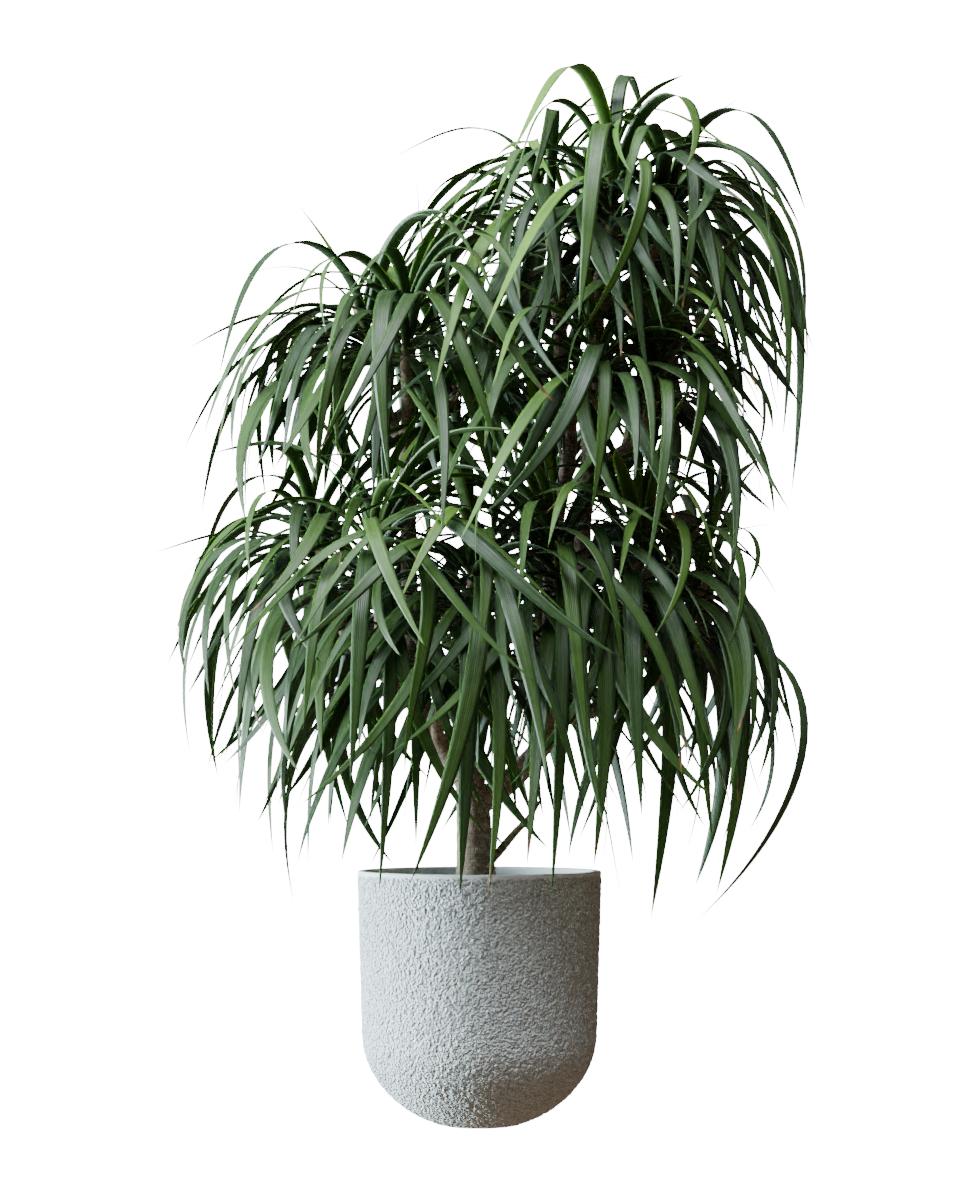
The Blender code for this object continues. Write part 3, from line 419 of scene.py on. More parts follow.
def leafCourse(root, azimuth, pitch, droop, length, lean, tuck, limp, sway, curl, twist, width):
    course, steps = [], leafRule["steps"]
    point, angle = Vector(root), pitch
    for k, bend in enumerate(bendShares(limp)):
        s = k / steps
        heading = azimuth + sway * s * s
        level = Vector((-math.sin(heading), math.cos(heading), 0.0))
        outward = Vector((math.cos(heading), math.sin(heading), 0.0))
        tangent = toward(heading, angle) + level * (lean * s + curl * s ** 3) - outward * tuck * s * s
        tangent.normalize()
        side = (level - tangent * level.dot(tangent)).normalized()
        turn = Matrix.Rotation(twist * s, 3, tangent)
        course.append((point.copy(), turn @ side, turn @ tangent.cross(side), width / 2 * leafShape(s)))
        point += tangent * length / steps
        angle -= droop * math.cos(angle) * bend
    return course


def bulgingPair(vertices, b, c):  # two triangles of a leaf's side, split to bulge outwards
    normal = (vertices[c] - vertices[b]).cross(vertices[c + 3] - vertices[b])
    if (vertices[b + 3] - vertices[b]).dot(normal) <= 0:
        return [(b, c, c + 3), (b, c + 3, b + 3)]
    return [(b, c, b + 3), (c, c + 3, b + 3)]


def coarseLeaf(course, grow=0.0, rooted=True):  # the frame's three-sided blade, to test what a leaf touches
    steps, keels = leafRule["steps"], leafRule["keel"]
    vertices, faces = [], []
    for k in leafRule["stations"]:
        point, side, upper, half = course[k]
        keel = keels[0] + (keels[1] - keels[0]) * k / steps
        lift = upper * grow
        vertices += [point + side * (half + grow) + lift, point - side * (half + grow) + lift,
                     point - upper * (keel + grow)]
    last = len(vertices) - 3
    for a in range(0, last, 3):
        for b, c in ((a, a + 1), (a + 1, a + 2), (a + 2, a)):
            faces += bulgingPair(vertices, b, c)
    tip = len(vertices)
    faces += [(last, last + 1, tip), (last + 1, last + 2, tip), (last + 2, last, tip)]
    vertices.append(course[steps][0])
    if rooted:
        faces += [(1, 0, tip + 1), (2, 1, tip + 1), (0, 2, tip + 1)]
        vertices.append(course[0][0])
    else:
        faces.append((0, 2, 1))
    return vertices, faces


def leafAt(name, azimuth, pitch, droop, length, share, *bends):
    axis, direction = axisOf(name), toward(azimuth, pitch)
    outward = (direction - axis * direction.dot(axis)).normalized()
    root = baseOf(name) + axis * leafRule["stemLength"] * share - outward * leafRule["rootReach"]
    return leafCourse(root, azimuth, pitch, droop, length + leafRule["rootReach"], *bends)


def reachingLeaf(name, rank, attempt):
    azimuth, pitch, droop, length, share, lean, tuck, limp = reaching[name][rank]
    draw = random.Random(f"{name} reaching {rank} {attempt}")
    turn, tip, twist = leafRule["redraw"]
    azimuth = math.radians(azimuth + draw.uniform(-turn, turn) * attempt)
    pitch = math.radians(pitch + draw.uniform(-tip, tip) * attempt)
    return leafAt(name, azimuth, pitch, droop, length, share, lean, tuck, limp, 0.0, 0.0,
                  draw.uniform(-twist, twist), draw.uniform(*leafRule["width"]))


def drawnLeaf(name, rank, attempt, count=0):  # count: all filling leaves, 0 for a main one
    head, rule = heads[name], leafRule
    draw = random.Random(f"{name} filling {rank} {attempt}" if count else f"{name} {rank} {attempt}")
    age = 1 - rank / ((count or head["blades"]) - 1)
    grown = math.sin(math.pi / 2 * min(1.0, rule["grownAt"][0] + age / rule["grownAt"][1]))

    def byGrowth(key):
        least = rule["young"][key]
        return least + (1 - least) * grown

    first, further = rule["turn"]
    azimuth = rank * rule["goldenAngle"] + draw.uniform(-1, 1) * (first + further * attempt / rule["tries"])
    steepest, fall, power, stray = rule["pitch"]
    direction = toward(azimuth, math.radians(steepest - fall * age ** power + draw.uniform(-stray, stray)))
    direction.rotate(Vector((0, 0, 1)).rotation_difference(axisOf(name)).slerp(Quaternion(), rule["upright"]))
    droop = draw.uniform(*rule["droop"][tierOf(name)]) * byGrowth("droop")
    length = head["length"] * byGrowth("length") * draw.uniform(*rule["lengths"])
    lean, sway, curl, twist = (rule[key] * draw.uniform(-1, 1) for key in ("lean", "sway", "curl", "twist"))
    tuck, limp = draw.uniform(*rule["tuck"]), draw.uniform(*rule["limp"])
    width = draw.uniform(*rule["width"]) * byGrowth("width")
    return leafAt(name, math.atan2(direction.y, direction.x), math.asin(direction.z), droop, length,
                  rule["root"][0] + rule["root"][1] * (1 - age), lean, tuck, limp, sway, curl, twist, width)


def treeOf(meshes):
    return BVHTree.FromPolygons(*joined(meshes), all_triangles=True)


def ringAround(centre, direction, radius, sides):
    across = direction.cross(Vector((0, 1, 0))).normalized()
    up = direction.cross(across).normalized()
    return [centre + radius * (x * across + y * up) for x, y in unitRing(sides)]


def coarseStem(name, sides=6):  # the frame's leafy stem with its bud
    start, axis = baseOf(name), axisOf(name)
    length, radius = leafRule["stemLength"], leafRule["stemRadius"]
    vertices = []
    for height, wide in ((0, radius), (length, 0.8 * radius), (length + 0.035, 0.005)):
        vertices += ringAround(start + axis * height, axis, wide, sides)
    faces = [half for a, b, c, d in wallFaces(3, sides) for half in ((a, b, c), (a, c, d))]
    for j in range(1, sides - 1):
        faces += [(0, j + 1, j), (2 * sides, 2 * sides + j, 2 * sides + j + 1)]
    return vertices, faces


def isInCrown(point):
    above, below = next(pair for pair in zip(crownReach, crownReach[1:]) if point.z >= pair[1][0])
    t = (point.z - below[0]) / (above[0] - below[0])
    left, right, deep = (b + (a - b) * t for a, b in zip(above[1:], below[1:]))
    level = (2 * point.x - left - right) / (right - left)
    return abs(level) ** 3 + abs(point.y / deep) ** 3 <= 1


def isInReach(course, tier, drawn):
    low, high = leafRule["reachLow"], leafRule["reachHigh"]
    for point, *_ in course:
        if not all(low[k] <= point[k] <= high[k] for k in range(3)):
            return False
        if drawn and (point.z < leafRule["lowest"][tier] or not isInCrown(point)):
            return False
    return True


def placeLeaves():  # the frame's leaves by its rule, then the filling ones between them
    graph = bpy.context.evaluated_depsgraph_get()
    fixed = [BVHTree.FromObject(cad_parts[node], graph) for node in ("pot", "trunk_and_branches")]
    stems = {name: coarseStem(name) for name in heads}
    wholeTrees = {name: treeOf([stem]) for name, stem in stems.items()}
    freeTrees = {}
    placed = {name: [] for name in heads}

    def isClear(name, course, clearances):
        others = [tree for other, tree in wholeTrees.items() if other != name]
        for clearance in clearances:
            whole = treeOf([coarseLeaf(course, clearance)])
            free = treeOf([coarseLeaf(course, clearance, False)])
            if any(whole.overlap(tree) for tree in [*fixed, *others]):
                return False
            if name in freeTrees and free.overlap(freeTrees[name]):
                return False
        return True

    def place(name, make, rank, age, tries=leafRule["tries"], clearances=leafRule["clearances"]):
        for attempt in range(tries):
            course = make(name, rank, attempt)
            isDrawn = make is not reachingLeaf
            if isInReach(course, tierOf(name), isDrawn) and isClear(name, course, clearances):
                placed[name].append({"course": course, "age": age})
                courses = [leaf["course"] for leaf in placed[name]]
                wholeTrees[name] = treeOf([stems[name]] + [coarseLeaf(each) for each in courses])
                freeTrees[name] = treeOf([coarseLeaf(each, 0.0, False) for each in courses])
                return

    for name, rows in reaching.items():
        for rank in range(len(rows)):
            place(name, reachingLeaf, rank, 1 - rows[rank][4])
    for rank in range(max(head["blades"] for head in heads.values())):
        for name, head in heads.items():
            if rank < head["blades"] - len(reaching.get(name, ())):
                place(name, drawnLeaf, rank, 1 - rank / (head["blades"] - 1))
    print("main leaves:", sum(map(len, placed.values())))
    for rank in range(max(leafRule["fillers"].values())):
        for name in heads:
            count = leafRule["fillers"][tierOf(name)]
            if rank < count:
                place(name, lambda *draws: drawnLeaf(*draws, count), rank, 1 - rank / (count - 1),
                      leafRule["fillerTries"], (0.0,))
    print("leaves:", sum(map(len, placed.values())))
    return placed


placedLeaves = placeLeaves()

# Leaves

leafLook = {
    "matureDark": "#162a0d",
    "matureLight": "#2a431c",
    "young": "#6a932b",
    "stemEnd": "#8ea058",
    "under": "#2a4524",
    "dry": "#8a6236",
    "dryEdge": "#4e3a22",
    "roughness": 0.42,
    "bloom": "#dde8ee",  # the pale waxy bloom on the skin
    "segments": 24,
    "thickness": 0.0007,
    "fold": (0.16, 0.42),  # how far the edges rise from the midrib, in half widths, and how they curl
    "edgeCurl": (-0.1, 0.16),
    "veins": 9,  # real ones are about 1 mm apart, too fine to show, these about 3 mm
    "dryTips": (0.0, 0.0, 0.01, 0.03, 0.05, 0.12),  # shares of an older leaf that have dried
    "dryWander": 0.05,
}

# What the material knows of each point of a leaf
leafValues = ("along", "across", "under", "youth", "tone", "dryTip")

# A leaf's section, corner by corner: place across, depth in thicknesses, and 1 on the underside
leafSection = ((-1, 0, 0), (-0.5, 0, 0), (0, 0, 0), (0.5, 0, 0), (1, 0, 0),
               (0.5, 1, 1), (0, 1.7, 1), (-0.5, 1, 1))


def leafMaterial():
    # Live strap leaf, waxy skin over green flesh: satin, darker with age, brown where the tip has dried
    look = leafLook
    made, tree, shader = newMaterial(
        "waxyLeaf", Roughness=look["roughness"], IOR=1.45, Specular_IOR_Level=0.42, Sheen_Weight=0.05,
        Sheen_Roughness=0.45, Sheen_Tint=look["bloom"], Subsurface_Weight=0.12, Subsurface_Scale=0.0015,
        Subsurface_Radius=(0.5, 1.0, 0.2))  # green light passes through a leaf
    known = {key: addNode(tree, "Attribute", {"attribute_name": key}, "Fac") for key in leafValues}
    place = addNode(tree, "TexCoord", {}, "Object")
    cloudy, ragged, dull = (addNode(tree, "TexNoise", {"Vector": place, "Scale": scale, "Detail": detail})
                            for scale, detail in ((9.0, 3.0), (120.0, 2.0), (60.0, 3.0)))
    stripes = addNode(tree, "Math", {"operation": "MULTIPLY", 0: known["across"], 1: math.pi * look["veins"]})
    stripes = addNode(tree, "Math", {"operation": "COSINE", 0: stripes})
    midrib = addNode(tree, "Math", {"operation": "ABSOLUTE", 0: known["across"]})
    reach = addNode(tree, "Math", {"operation": "MULTIPLY_ADD", 0: ragged, 1: look["dryWander"],
                                   2: known["along"]})
    dried = addNode(tree, "Math", {"operation": "ADD", 0: reach, 1: known["dryTip"]})

    colour = look["matureDark"]
    for share, over in ((known["tone"], "matureLight"), (known["youth"], "young")):
        colour = addNode(tree, "Mix", {"data_type": "RGBA", 0: share, 6: colour, 7: look[over]}, 2)
    # Further layers: what each follows, between which values, its strength at both, and its colour
    for value, low, high, first, last, over in (
            (cloudy, 0.3, 0.7, 0.0, 0.25, "matureDark"),
            (stripes, 0.2, 1.0, 0.0, 0.07, "young"),
            (midrib, 0.0, 0.14, 0.14, 0.0, "young"),
            (known["under"], 0.4, 0.6, 0.0, 0.55, "under"),
            (known["along"], 0.0, 0.13, 0.75, 0.0, "stemEnd"),
            (dried, 1.0, 1.03, 0.0, 1.0, "dryEdge"),
            (dried, 1.03, 1.06, 0.0, 1.0, "dry")):
        share = addNode(tree, "MapRange", {"interpolation_type": "SMOOTHSTEP", 0: value,
                                           1: low, 2: high, 3: first, 4: last})
        colour = addNode(tree, "Mix", {"data_type": "RGBA", 0: share, 6: colour, 7: look[over]}, 2)
    tree.links.new(colour, shader.inputs["Base Color"])

    dull = addNode(tree, "MapRange", {"interpolation_type": "SMOOTHSTEP", 0: dull, 1: 0.25, 2: 0.75,
                                      3: look["roughness"] - 0.08, 4: look["roughness"] + 0.10})
    tree.links.new(dull, shader.inputs["Roughness"])
    bump = addNode(tree, "Bump", {"Height": stripes, "Strength": 0.25, "Distance": 0.0006})
    tree.links.new(bump, shader.inputs["Normal"])
    return made


def fineLeaf(leaf, draw):  # closed: rings of corners, a pointed root and a pointed tip
    course, steps, sides = leaf["course"], leafRule["steps"], len(leafSection)
    stride = steps // leafLook["segments"]
    fold, curl = draw.uniform(*leafLook["fold"]), draw.uniform(*leafLook["edgeCurl"])
    rows, along, across, under = [], [], [], []
    for k in range(stride, steps, stride):
        point, side, upper, half = course[k]
        s = k / steps
        lift = fold * (1 - s) ** 1.5 + curl * s
        thick = leafLook["thickness"] * (1.25 - 0.8 * s)
        for x, deep, isUnder in leafSection:
            rise = half * lift * (abs(x) ** 1.6 - 0.35) - thick * deep
            rows.append(point + side * (half * x) + upper * rise)
            along.append(s)
            across.append(x)
            under.append(isUnder)
    faces = wallFaces(steps // stride - 1, sides, turned=True)
    root, tip, last = len(rows), len(rows) + 1, len(rows) - sides
    for j in range(sides):
        after = (j + 1) % sides
        faces += [(root, j, after), (tip, last + after, last + j)]
    rows += [course[0][0], course[steps][0]]
    values = {"along": [*along, 0.0, 1.0], "across": [*across, 0.0, 0.0], "under": [*under, 0.5, 0.5]}
    return rows, faces, values


def leafyStem(name, sides=14, rings=12):
    start, axis = baseOf(name), axisOf(name)
    vertices = []
    for k in range(rings):
        s = k / (rings - 1)
        wide = leafRule["stemRadius"] * (1 - 0.35 * s ** 2) * (1 + 0.05 * (k % 2))
        vertices += ringAround(start + axis * leafRule["stemLength"] * s, axis, wide, sides)
    faces = wallFaces(rings, sides) + [tuple(range(sides))[::-1]]
    top, last = len(vertices), len(vertices) - sides
    vertices.append(start + axis * (leafRule["stemLength"] + 0.02))
    faces += [(last + j, last + (j + 1) % sides, top) for j in range(sides)]
    return vertices, faces


def buildLeaves(waxyLeaf, bark):
    for name, leaves in placedLeaves.items():
        meshes = []
        known = {key: [] for key in leafValues}
        for rank, leaf in enumerate(leaves):
            draw = random.Random(f"{name} look {rank}")
            rows, faces, values = fineLeaf(leaf, draw)
            meshes.append((rows, faces))
            youth = max(0.0, 1 - leaf["age"] / 0.45) * draw.uniform(0.55, 1.0) + draw.uniform(0.0, 0.22)
            tone = draw.random()
            dryTip = draw.choice(leafLook["dryTips"]) if leaf["age"] > 0.4 else 0.0
            for key, value in (("youth", youth), ("tone", tone), ("dryTip", dryTip - leafLook["dryWander"])):
                values[key] = [value] * len(rows)
            for key in known:
                known[key] += values[key]
        stem = leafyStem(name)
        slots = [0] * sum(len(faces) for _, faces in meshes) + [1] * len(stem[1])
        for values in known.values():
            values += [0.0] * len(stem[0])
        piece = meshObject("leaves_" + name, *joined([*meshes, stem]), [waxyLeaf, bark], known, slots)
        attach(piece, "root")
        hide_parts("leaf_head_" + name)


# Bark

barkLook = {
    "light": "#c4ae97",
    "mid": "#9b8671",
    "dark": "#503f32",
    "scarPitch": (0.0036, 0.0058),
    "scarDepth": 0.00055,
    "scarLean": 0.0011,
    "fibre": 0.0016,  # metres across a fibre
    "lumps": 0.055,  # shares of the radius
    "ribs": 0.035,
    "spacing": 0.004,  # metres between the points of a branch's course
}

# Rows of a ring that a leaf left: place along it, rise and darkness
scarRows = ((0.0, -1.0, 1.0), (0.16, 0.55, 0.25), (0.42, 0.3, 0.0), (0.82, 0.0, 0.15))


def barkMaterial():
    # Dracaena bark, weathered: matt, brown with paler dry skin, dark in the rings that leaves left
    look = barkLook
    made, tree, shader = newMaterial("scarredBark", Roughness=0.88, IOR=1.4)
    place = addNode(tree, "Attribute", {"attribute_name": "barkPlace"}, "Vector")
    scar = addNode(tree, "Attribute", {"attribute_name": "scar"}, "Fac")
    stretched = addNode(tree, "Mapping", {"Vector": place, "Scale": (1 / look["fibre"], 120, 1)})
    fibres = addNode(tree, "TexNoise", {"Vector": stretched, "Scale": 1.0, "Detail": 5.0, "Roughness": 0.65})
    colour = addNode(tree, "ValToRGB", {"Fac": fibres})
    stops = colour.node.color_ramp.elements
    stops.new(0.5)
    for stop, position, tone in zip(stops, (0.3, 0.5, 0.72), ("dark", "mid", "light")):
        stop.position, stop.color = position, linear(look[tone])
    pale = addNode(tree, "TexNoise", {"Vector": place, "Scale": 55.0, "Detail": 4.0})
    for value, low, high, last, over in ((pale, 0.55, 0.75, 0.6, "light"), (scar, 0.35, 1.0, 0.85, "dark")):
        share = addNode(tree, "MapRange", {0: value, 1: low, 2: high, 4: last})
        colour = addNode(tree, "Mix", {"data_type": "RGBA", 0: share, 6: colour, 7: look[over]}, 2)
    tree.links.new(colour, shader.inputs["Base Color"])
    bump = addNode(tree, "Bump", {"Height": fibres, "Strength": 0.8, "Distance": 0.0008})
    tree.links.new(bump, shader.inputs["Normal"])
    return made


def curveAt(points, spacing):  # points about spacing apart on a Catmull-Rom curve
    points = [Vector(p) for p in points]
    ends = [points[0] * 2 - points[1]] + points + [points[-1] * 2 - points[-2]]
    path = [points[0]]
    for before, here, there, after in zip(ends, ends[1:], ends[2:], ends[3:]):
        steps = max(1, round((there - here).length / spacing))
        for k in range(1, steps + 1):
            t = k / steps
            path.append(0.5 * (2 * here + (there - before) * t
                               + (2 * before - 5 * here + 4 * there - after) * t * t
                               + (3 * here - before - 3 * there + after) * t ** 3))
    return path


def alongAt(path, k):  # the path's direction at its point k
    return (path[min(k + 1, len(path) - 1)] - path[max(k - 1, 0)]).normalized()


def scarRings(draw, total):  # rows along a branch: place, rise, darkness, lean and the lean's side
    rows, distance = [], 0.0
    while distance < total:
        pitch = draw.uniform(*barkLook["scarPitch"])
        lean, leanAt = draw.uniform(0, barkLook["scarLean"]), draw.uniform(0, math.tau)
        fade = draw.uniform(0.4, 1.0)
        for share, rise, dark in scarRows:
            if distance + share * pitch < total - 0.001:
                rows.append((distance + share * pitch, rise * fade, dark * fade, lean, leanAt))
        distance += pitch
    return [*rows, (total, 0.0, 0.0, 0.0, 0.0)]


def barkTube(label, points, radii, sides, collar):
    draw = random.Random("bark " + label)
    path = curveAt(points, barkLook["spacing"])
    lengths = [0.0]
    for first, second in zip(path, path[1:]):
        lengths.append(lengths[-1] + (second - first).length)
    total = lengths[-1]
    sideways, frames = None, []
    for k in range(len(path)):
        tangent = alongAt(path, k)
        start = tangent.cross(Vector((0, 1, 0)))
        sideways = sideways - tangent * sideways.dot(tangent) if sideways else start
        sideways.normalize()
        frames.append((sideways.copy(), tangent.cross(sideways)))

    def stationAt(distance):
        distance = min(max(distance, 0.0), total)
        k = max(0, min(len(path) - 2, int(distance / total * (len(path) - 1))))
        while lengths[k + 1] < distance and k < len(path) - 2:
            k += 1
        while lengths[k] > distance and k > 0:
            k -= 1
        t = (distance - lengths[k]) / max(1e-9, lengths[k + 1] - lengths[k])
        across, up = (a.lerp(b, t) for a, b in zip(frames[k], frames[k + 1]))
        return path[k].lerp(path[k + 1], t), across, up

    vertices, places, scars = [], [], []
    offset = draw.uniform(0, 10)
    rows = scarRings(draw, total)
    for along, rise, dark, lean, leanAt in rows:
        radius = radii[0] + (radii[1] - radii[0]) * (along / total)
        radius *= 1 + collar * math.exp(-(along / (1.6 * radii[0])) ** 2)
        for j, (x, y) in enumerate(unitRing(sides)):
            angle = math.tau * j / sides
            centre, across, up = stationAt(along + lean * math.cos(angle - leanAt))
            out = across * x + up * y
            lumps = noise.noise(centre * 55 + out * 1.3 + Vector((0, 0, offset)))
            ribs = noise.noise(Vector((x * 3.1, y * 3.1, along * 22 + offset)))
            wide = radius * (1 + barkLook["lumps"] * lumps + barkLook["ribs"] * ribs)
            vertices.append(centre + out * (wide + rise * barkLook["scarDepth"]))
            places.append((angle * radius, along, offset))
            scars.append(max(0.0, dark))
    return (vertices, tubeFaces(len(rows), sides)), places, scars


def buildBark(bark):
    tubes = []
    for label, branch in branches.items():
        points = list(branch["points"])
        if branch["head"]:
            points.append(baseOf(branch["head"]))
        sides, collar = (32, 0.0) if label == "trunk" else (20, 0.22)
        tubes.append(barkTube(label, points, branch["radius"], sides, collar))
    for name, head in heads.items():
        if "twig" in head:
            points, radii = [*head["twig"], baseOf(name)], (head["twigRadius"], leafRule["stemRadius"])
            tubes.append(barkTube(name, points, radii, 14, 0.25))
    meshes, places, scars = zip(*tubes)
    values = {"barkPlace": sum(places, []), "scar": sum(scars, [])}
    piece = meshObject("barked_wood", *joined(meshes), [bark], values)
    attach(piece, "root")
    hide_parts("trunk_and_branches")


bark = barkMaterial()
buildBark(bark)
print("bark ready")
buildLeaves(leafMaterial(), bark)
print("leaves ready")

# Planter

planter = {
    "rimRadius": 0.201,
    "waistRadius": 0.193,
    "height": 0.416,
    "waistHeight": 0.1526,
    "footRadius": 0.06,
    "footEdge": 0.002,
    "wall": 0.013,
    "lipRound": 0.003,
    "inside": (0.055, 0.0016),  # how far down it is made, and how much the wall thickens there
    "sides": 480,
    "rowPitch": 0.0027,
    "pebble": 0.0082,  # metres across a lump of the plaster
    "relief": 0.002,
    "grain": 0.0044,  # metres across its smaller grains
    "grainRise": 0.01,
    "plasterStart": (0.0035, 0.003, 0.002),  # depth below the lip, how far it strays, the edge's width
    "plasterWhole": 0.012,  # below this the plaster is whole all round
    "colour": "#f1f6f4",
    # painted shade: the colour of the low parts between the plaster's lumps, where shade falls
    "paintedHollowShade": "#d8dedb",
    "bare": "#fcfefd",  # the smooth lip and inside
    # painted shade inside the pin holes, which the relief does not model
    "pinHoleShade": "#3b3a36",
}


def plasterMaterial():
    # Sprayed plaster on a cast planter, painted matt white: lumpy and chalky, with painted shade in the
    # hollows between the lumps and a few pin holes painted dark as the shade inside them
    made, tree, shader = newMaterial("sprayedPlaster", Roughness=0.86, IOR=1.45)
    place = addNode(tree, "TexCoord", {}, "Object")
    rough = addNode(tree, "Attribute", {"attribute_name": "rough"}, "Fac")
    grains = addNode(tree, "TexVoronoi", {"feature": "SMOOTH_F1", "Vector": place, "Smoothness": 0.35,
                                          "Scale": 1 / planter["grain"]}, "Distance")
    lumps = addNode(tree, "TexNoise", {"Vector": place, "Scale": 0.8 / planter["grain"], "Detail": 2.0,
                                       "Roughness": 0.55})
    both = addNode(tree, "Math", {"operation": "MULTIPLY_ADD", 0: grains, 1: -0.7, 2: lumps})
    raised = addNode(tree, "MapRange", {0: both, 1: -0.05, 2: 0.2})
    # A few pin holes, painted dark as the shade inside them
    cells = addNode(tree, "TexVoronoi", {"Vector": place, "Scale": 70.0}).node
    nearby = addNode(tree, "MapRange", {0: cells.outputs["Distance"], 1: 0.05, 2: 0.08, 3: 1.0, 4: 0.0})
    chance = addNode(tree, "SeparateColor", {0: cells.outputs["Color"]})
    few = addNode(tree, "Math", {"operation": "GREATER_THAN", 0: chance, 1: 0.86})
    pinHoleShadeShare = addNode(tree, "Math", {"operation": "MULTIPLY", 0: nearby, 1: few})
    pinHoleShadeShare = addNode(tree, "Math", {"operation": "MULTIPLY", 0: pinHoleShadeShare, 1: rough})
    # Low parts of the relief take the painted hollow shade, raised lumps the plaster's own colour
    colour = planter["paintedHollowShade"]
    for share, over in ((raised, "colour"), (pinHoleShadeShare, "pinHoleShade")):
        colour = addNode(tree, "Mix", {"data_type": "RGBA", 0: share, 6: colour, 7: planter[over]}, 2)
    colour = addNode(tree, "Mix", {"data_type": "RGBA", 0: rough, 6: planter["bare"], 7: colour}, 2)
    tree.links.new(colour, shader.inputs["Base Color"])
    height = addNode(tree, "Math", {"operation": "MULTIPLY", 0: both, 1: rough})
    bump = addNode(tree, "Bump", {"Height": height, "Strength": 1.0, "Distance": planter["grainRise"]})
    tree.links.new(bump, shader.inputs["Normal"])
    return made


def planterOutline():  # radius, height and share of plaster, from the foot up and over the lip
    rows = [(0.02, 0.0, 0.0), (planter["footRadius"] - planter["footEdge"], 0.0, 0.0)]
    radius, depth = planter["waistRadius"], planter["waistHeight"]
    reach = math.sqrt(1 - (planter["footRadius"] / radius) ** 2)
    start = math.asin(reach)
    count = round(radius * start / planter["rowPitch"])
    for k in range(count + 1):
        angle = start * (1 - k / count)
        rows.append((radius * math.cos(angle), depth * (1 - math.sin(angle) / reach), min(1.0, k / 4)))
    top, lip, rim = planter["height"], planter["lipRound"], planter["rimRadius"]
    count = round((top - lip - depth) / planter["rowPitch"])
    for k in range(1, count + 1):
        share = k / count
        wide = radius + (rim - radius) * share
        rows.append((wide, depth + (top - lip - depth) * share, min(1.0, (count - k) / 2)))
    for middle, first in ((rim - lip, 0.0), (rim - planter["wall"] + lip, 90.0)):
        for k in range(1, 6):
            angle = math.radians(first + 90 * k / 5)
            rows.append((middle + lip * math.cos(angle), top - lip + lip * math.sin(angle), 0.0))
    deep, thicker = planter["inside"]
    for k in range(1, 6):
        rows.append((rim - planter["wall"] - thicker * k / 5, top - lip - deep * k / 5, 0.0))
    return rows


def coatAt(outward, below):  # share of plaster near the lip: it starts along an uneven line
    start, stray, edge = planter["plasterStart"]
    return min(1.0, max(0.0, (below - start - stray * noise.noise(outward * 14)) / edge))


def buildPlanter():
    rows, sides = planterOutline(), planter["sides"]
    vertices, rough = [(0, 0, 0)], [0.0]
    for k, (radius, height, finish) in enumerate(rows):
        before, after = rows[max(k - 1, 0)], rows[min(k + 1, len(rows) - 1)]
        along = Vector((after[0] - before[0], after[1] - before[1]))
        along.normalize()
        below = planter["height"] - planter["lipRound"] - height
        for x, y in unitRing(sides):
            outward = Vector((x, y, 0))
            point = outward * radius + Vector((0, 0, height))
            coat = coatAt(outward, below) if finish > 0 and below < planter["plasterWhole"] else finish
            if coat > 0:
                nearest = noise.voronoi(point / planter["pebble"])[0][0]
                uneven = noise.noise(point / (0.6 * planter["pebble"]))
                raised = planter["relief"] * coat * (0.5 - nearest + 0.7 * uneven)
                point += (outward * along.y - Vector((0, 0, along.x))) * raised
            point.z = max(point.z, 0.0)
            vertices.append(point)
            rough.append(coat)
    faces = [(0, 1 + (j + 1) % sides, 1 + j) for j in range(sides)] + wallFaces(len(rows), sides, 1)
    faces.append(tuple(range(len(vertices) - sides, len(vertices))))
    piece = meshObject("plastered_planter", vertices, faces, [plasterMaterial()], {"rough": rough})
    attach(piece, "root")
    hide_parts("pot")


buildPlanter()
print("planter ready")

# Potting soil, what lies on it and a dead side shoot

soil = {
    "top": 0.374,
    "crown": 0.006,
    "radius": 0.1865,
    "depth": 0.02,
    "unevenness": ((0.0035, 90), (0.002, 260)),  # rise in metres and fineness, of large and small lumps
    "rings": 60,
    "sides": 200,
    "dark": "#1d140e",
    "light": "#4a3526",
    "chips": 420,
    "chip": (0.004, 0.016),  # metres long
    "crumbs": 900,
    "crumb": (0.0016, 0.0042),
    "perliteBits": 100,
    "bark": ("#3a261a", "#6d4d36"),
    "perlite": ("#d9d7d0", "#d9d7d0"),
}

sideShoot = {
    "points": [(0.012, -0.004, 0.426), (0.031, -0.012, 0.446), (0.056, -0.018, 0.476),
               (0.08, -0.022, 0.502), (0.098, -0.024, 0.53)],
    "radius": 0.0074,
    "taper": 0.55,  # share of the radius that is lost to the end
    "knots": 0.05,
    "colours": ("#5d5a3c", "#8f7454"),
}


def soilMaterial():
    # Moist potting mix of peat and bark: very dark brown, crumbly and dull
    made, tree, shader = newMaterial("pottingMix", Roughness=0.95, IOR=1.4)
    place = addNode(tree, "TexCoord", {}, "Object")
    crumbs = addNode(tree, "TexNoise", {"Vector": place, "Scale": 260.0, "Detail": 5.0, "Roughness": 0.7})
    colour = addNode(tree, "ValToRGB", {"Fac": crumbs})
    for stop, position, tone in zip(colour.node.color_ramp.elements, (0.38, 0.68), ("dark", "light")):
        stop.position, stop.color = position, linear(soil[tone])
    tree.links.new(colour, shader.inputs["Base Color"])
    bump = addNode(tree, "Bump", {"Height": crumbs, "Strength": 1.0, "Distance": 0.004})
    tree.links.new(bump, shader.inputs["Normal"])
    return made


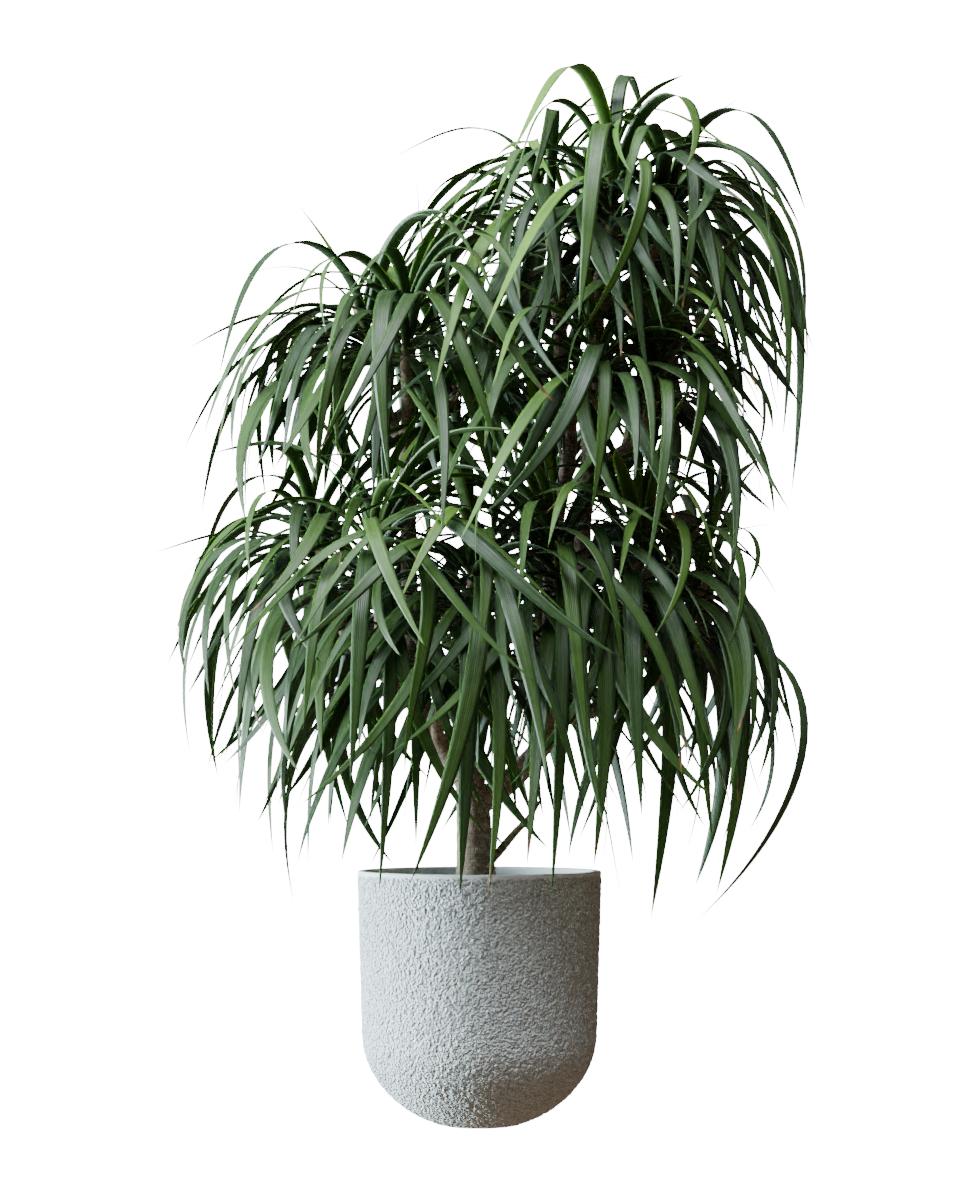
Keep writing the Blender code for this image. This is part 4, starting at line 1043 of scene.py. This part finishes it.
def looseMaterial(name, colours, roughness):
    # Dry bits, dull and mottled: brown bark chips, chalky white perlite, a dead shoot's skin
    made, tree, shader = newMaterial(name, Roughness=roughness, IOR=1.4)
    place = addNode(tree, "TexCoord", {}, "Object")
    mottled = addNode(tree, "TexNoise", {"Vector": place, "Scale": 140.0, "Detail": 3.0})
    tint = addNode(tree, "MapRange", {0: mottled, 1: 0.35, 2: 0.65})
    colour = addNode(tree, "Mix", {"data_type": "RGBA", 0: tint, 6: colours[0], 7: colours[1]}, 2)
    tree.links.new(colour, shader.inputs["Base Color"])
    return made


def soilHeight(x, y):
    place = Vector((x, y, 0))
    rise = soil["crown"] * (1 - (place.length / soil["radius"]) ** 2)
    (large, coarse), (small, fine) = soil["unevenness"]
    return soil["top"] + rise + large * noise.noise(place * coarse) + small * noise.noise(place * fine)


def looseBit(draw, sizes, flat):  # an uneven box half sunk in the soil
    while True:
        x, y = draw.uniform(-1, 1) * soil["radius"], draw.uniform(-1, 1) * soil["radius"]
        if branches["trunk"]["radius"][0] + sizes[1] < math.hypot(x, y) < soil["radius"] - sizes[1]:
            break
    half = 0.5 * draw.uniform(*sizes)
    spans = (half, half * draw.uniform(0.45, 0.8), half * flat * draw.uniform(0.6, 1.0))
    turn = Quaternion((0, 0, 1), draw.uniform(0, math.tau)) @ Quaternion((1, 0, 0), draw.gauss(0, 0.25))
    middle = Vector((x, y, soilHeight(x, y) + 0.45 * spans[2]))
    corners = []
    for k in range(8):
        signs = (1 if k & 1 else -1, 1 if k & 2 else -1, 1 if k & 4 else -1)
        corner = Vector([sign * span * draw.uniform(0.55, 1.0) for sign, span in zip(signs, spans)])
        corners.append(middle + turn @ corner)
    return corners


boxFaces = ((0, 2, 3, 1), (4, 5, 7, 6), (0, 1, 5, 4), (2, 6, 7, 3), (0, 4, 6, 2), (1, 3, 7, 5))


def buildLoose():  # bark chips, crumbs and perlite on the soil
    draw = random.Random("loose bits on the soil")
    meshes, slots = [], []
    for kind, count, sizes, flat in ((0, soil["chips"], soil["chip"], 0.35),
                                     (0, soil["crumbs"], soil["crumb"], 0.8),
                                     (1, soil["perliteBits"], soil["crumb"], 0.9)):
        meshes += [(looseBit(draw, sizes, flat), boxFaces) for _ in range(count)]
        slots += [kind] * len(boxFaces) * count
    materials = [looseMaterial("barkChips", soil["bark"], 0.9),
                 looseMaterial("perlite", soil["perlite"], 0.95)]
    piece = meshObject("loose_bits_on_soil", *joined(meshes), materials, slots=slots, smooth=False)
    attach(piece, "root")


def buildShoot(sides=10):  # a dried side shoot low on the trunk
    points = curveAt(sideShoot["points"], barkLook["spacing"])
    vertices = []
    for k, point in enumerate(points):
        taper = 1 - sideShoot["taper"] * (k / (len(points) - 1)) ** 1.5
        wide = sideShoot["radius"] * taper * (1 + sideShoot["knots"] * math.sin(2.1 * k))
        vertices += ringAround(point, alongAt(points, k), wide, sides)
    skin = looseMaterial("drySkin", sideShoot["colours"], 0.8)
    shoot = meshObject("dead_side_shoot", vertices, tubeFaces(len(points), sides), [skin])
    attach(shoot, "root")


def buildSoil():
    rings, sides = soil["rings"], soil["sides"]
    vertices = [(0, 0, soilHeight(0, 0))]
    for k in range(1, rings + 1):
        radius = soil["radius"] * k / rings
        vertices += [(radius * x, radius * y, soilHeight(radius * x, radius * y))
                     for x, y in unitRing(sides)]
    faces = [(0, 1 + j, 1 + (j + 1) % sides) for j in range(sides)] + wallFaces(rings, sides, 1, turned=True)
    bottom, rim = len(vertices), len(vertices) - sides
    for j, (x, y) in enumerate(unitRing(sides)):
        vertices.append((soil["radius"] * x, soil["radius"] * y, soil["top"] - soil["depth"]))
        after = (j + 1) % sides
        faces.append((rim + j, bottom + j, bottom + after, rim + after))
    faces.append(tuple(range(bottom, bottom + sides))[::-1])
    piece = meshObject("potting_soil", vertices, faces, [soilMaterial()])
    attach(piece, "root")
    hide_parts("soil")


buildSoil()
buildLoose()
buildShoot()
print("soil ready")
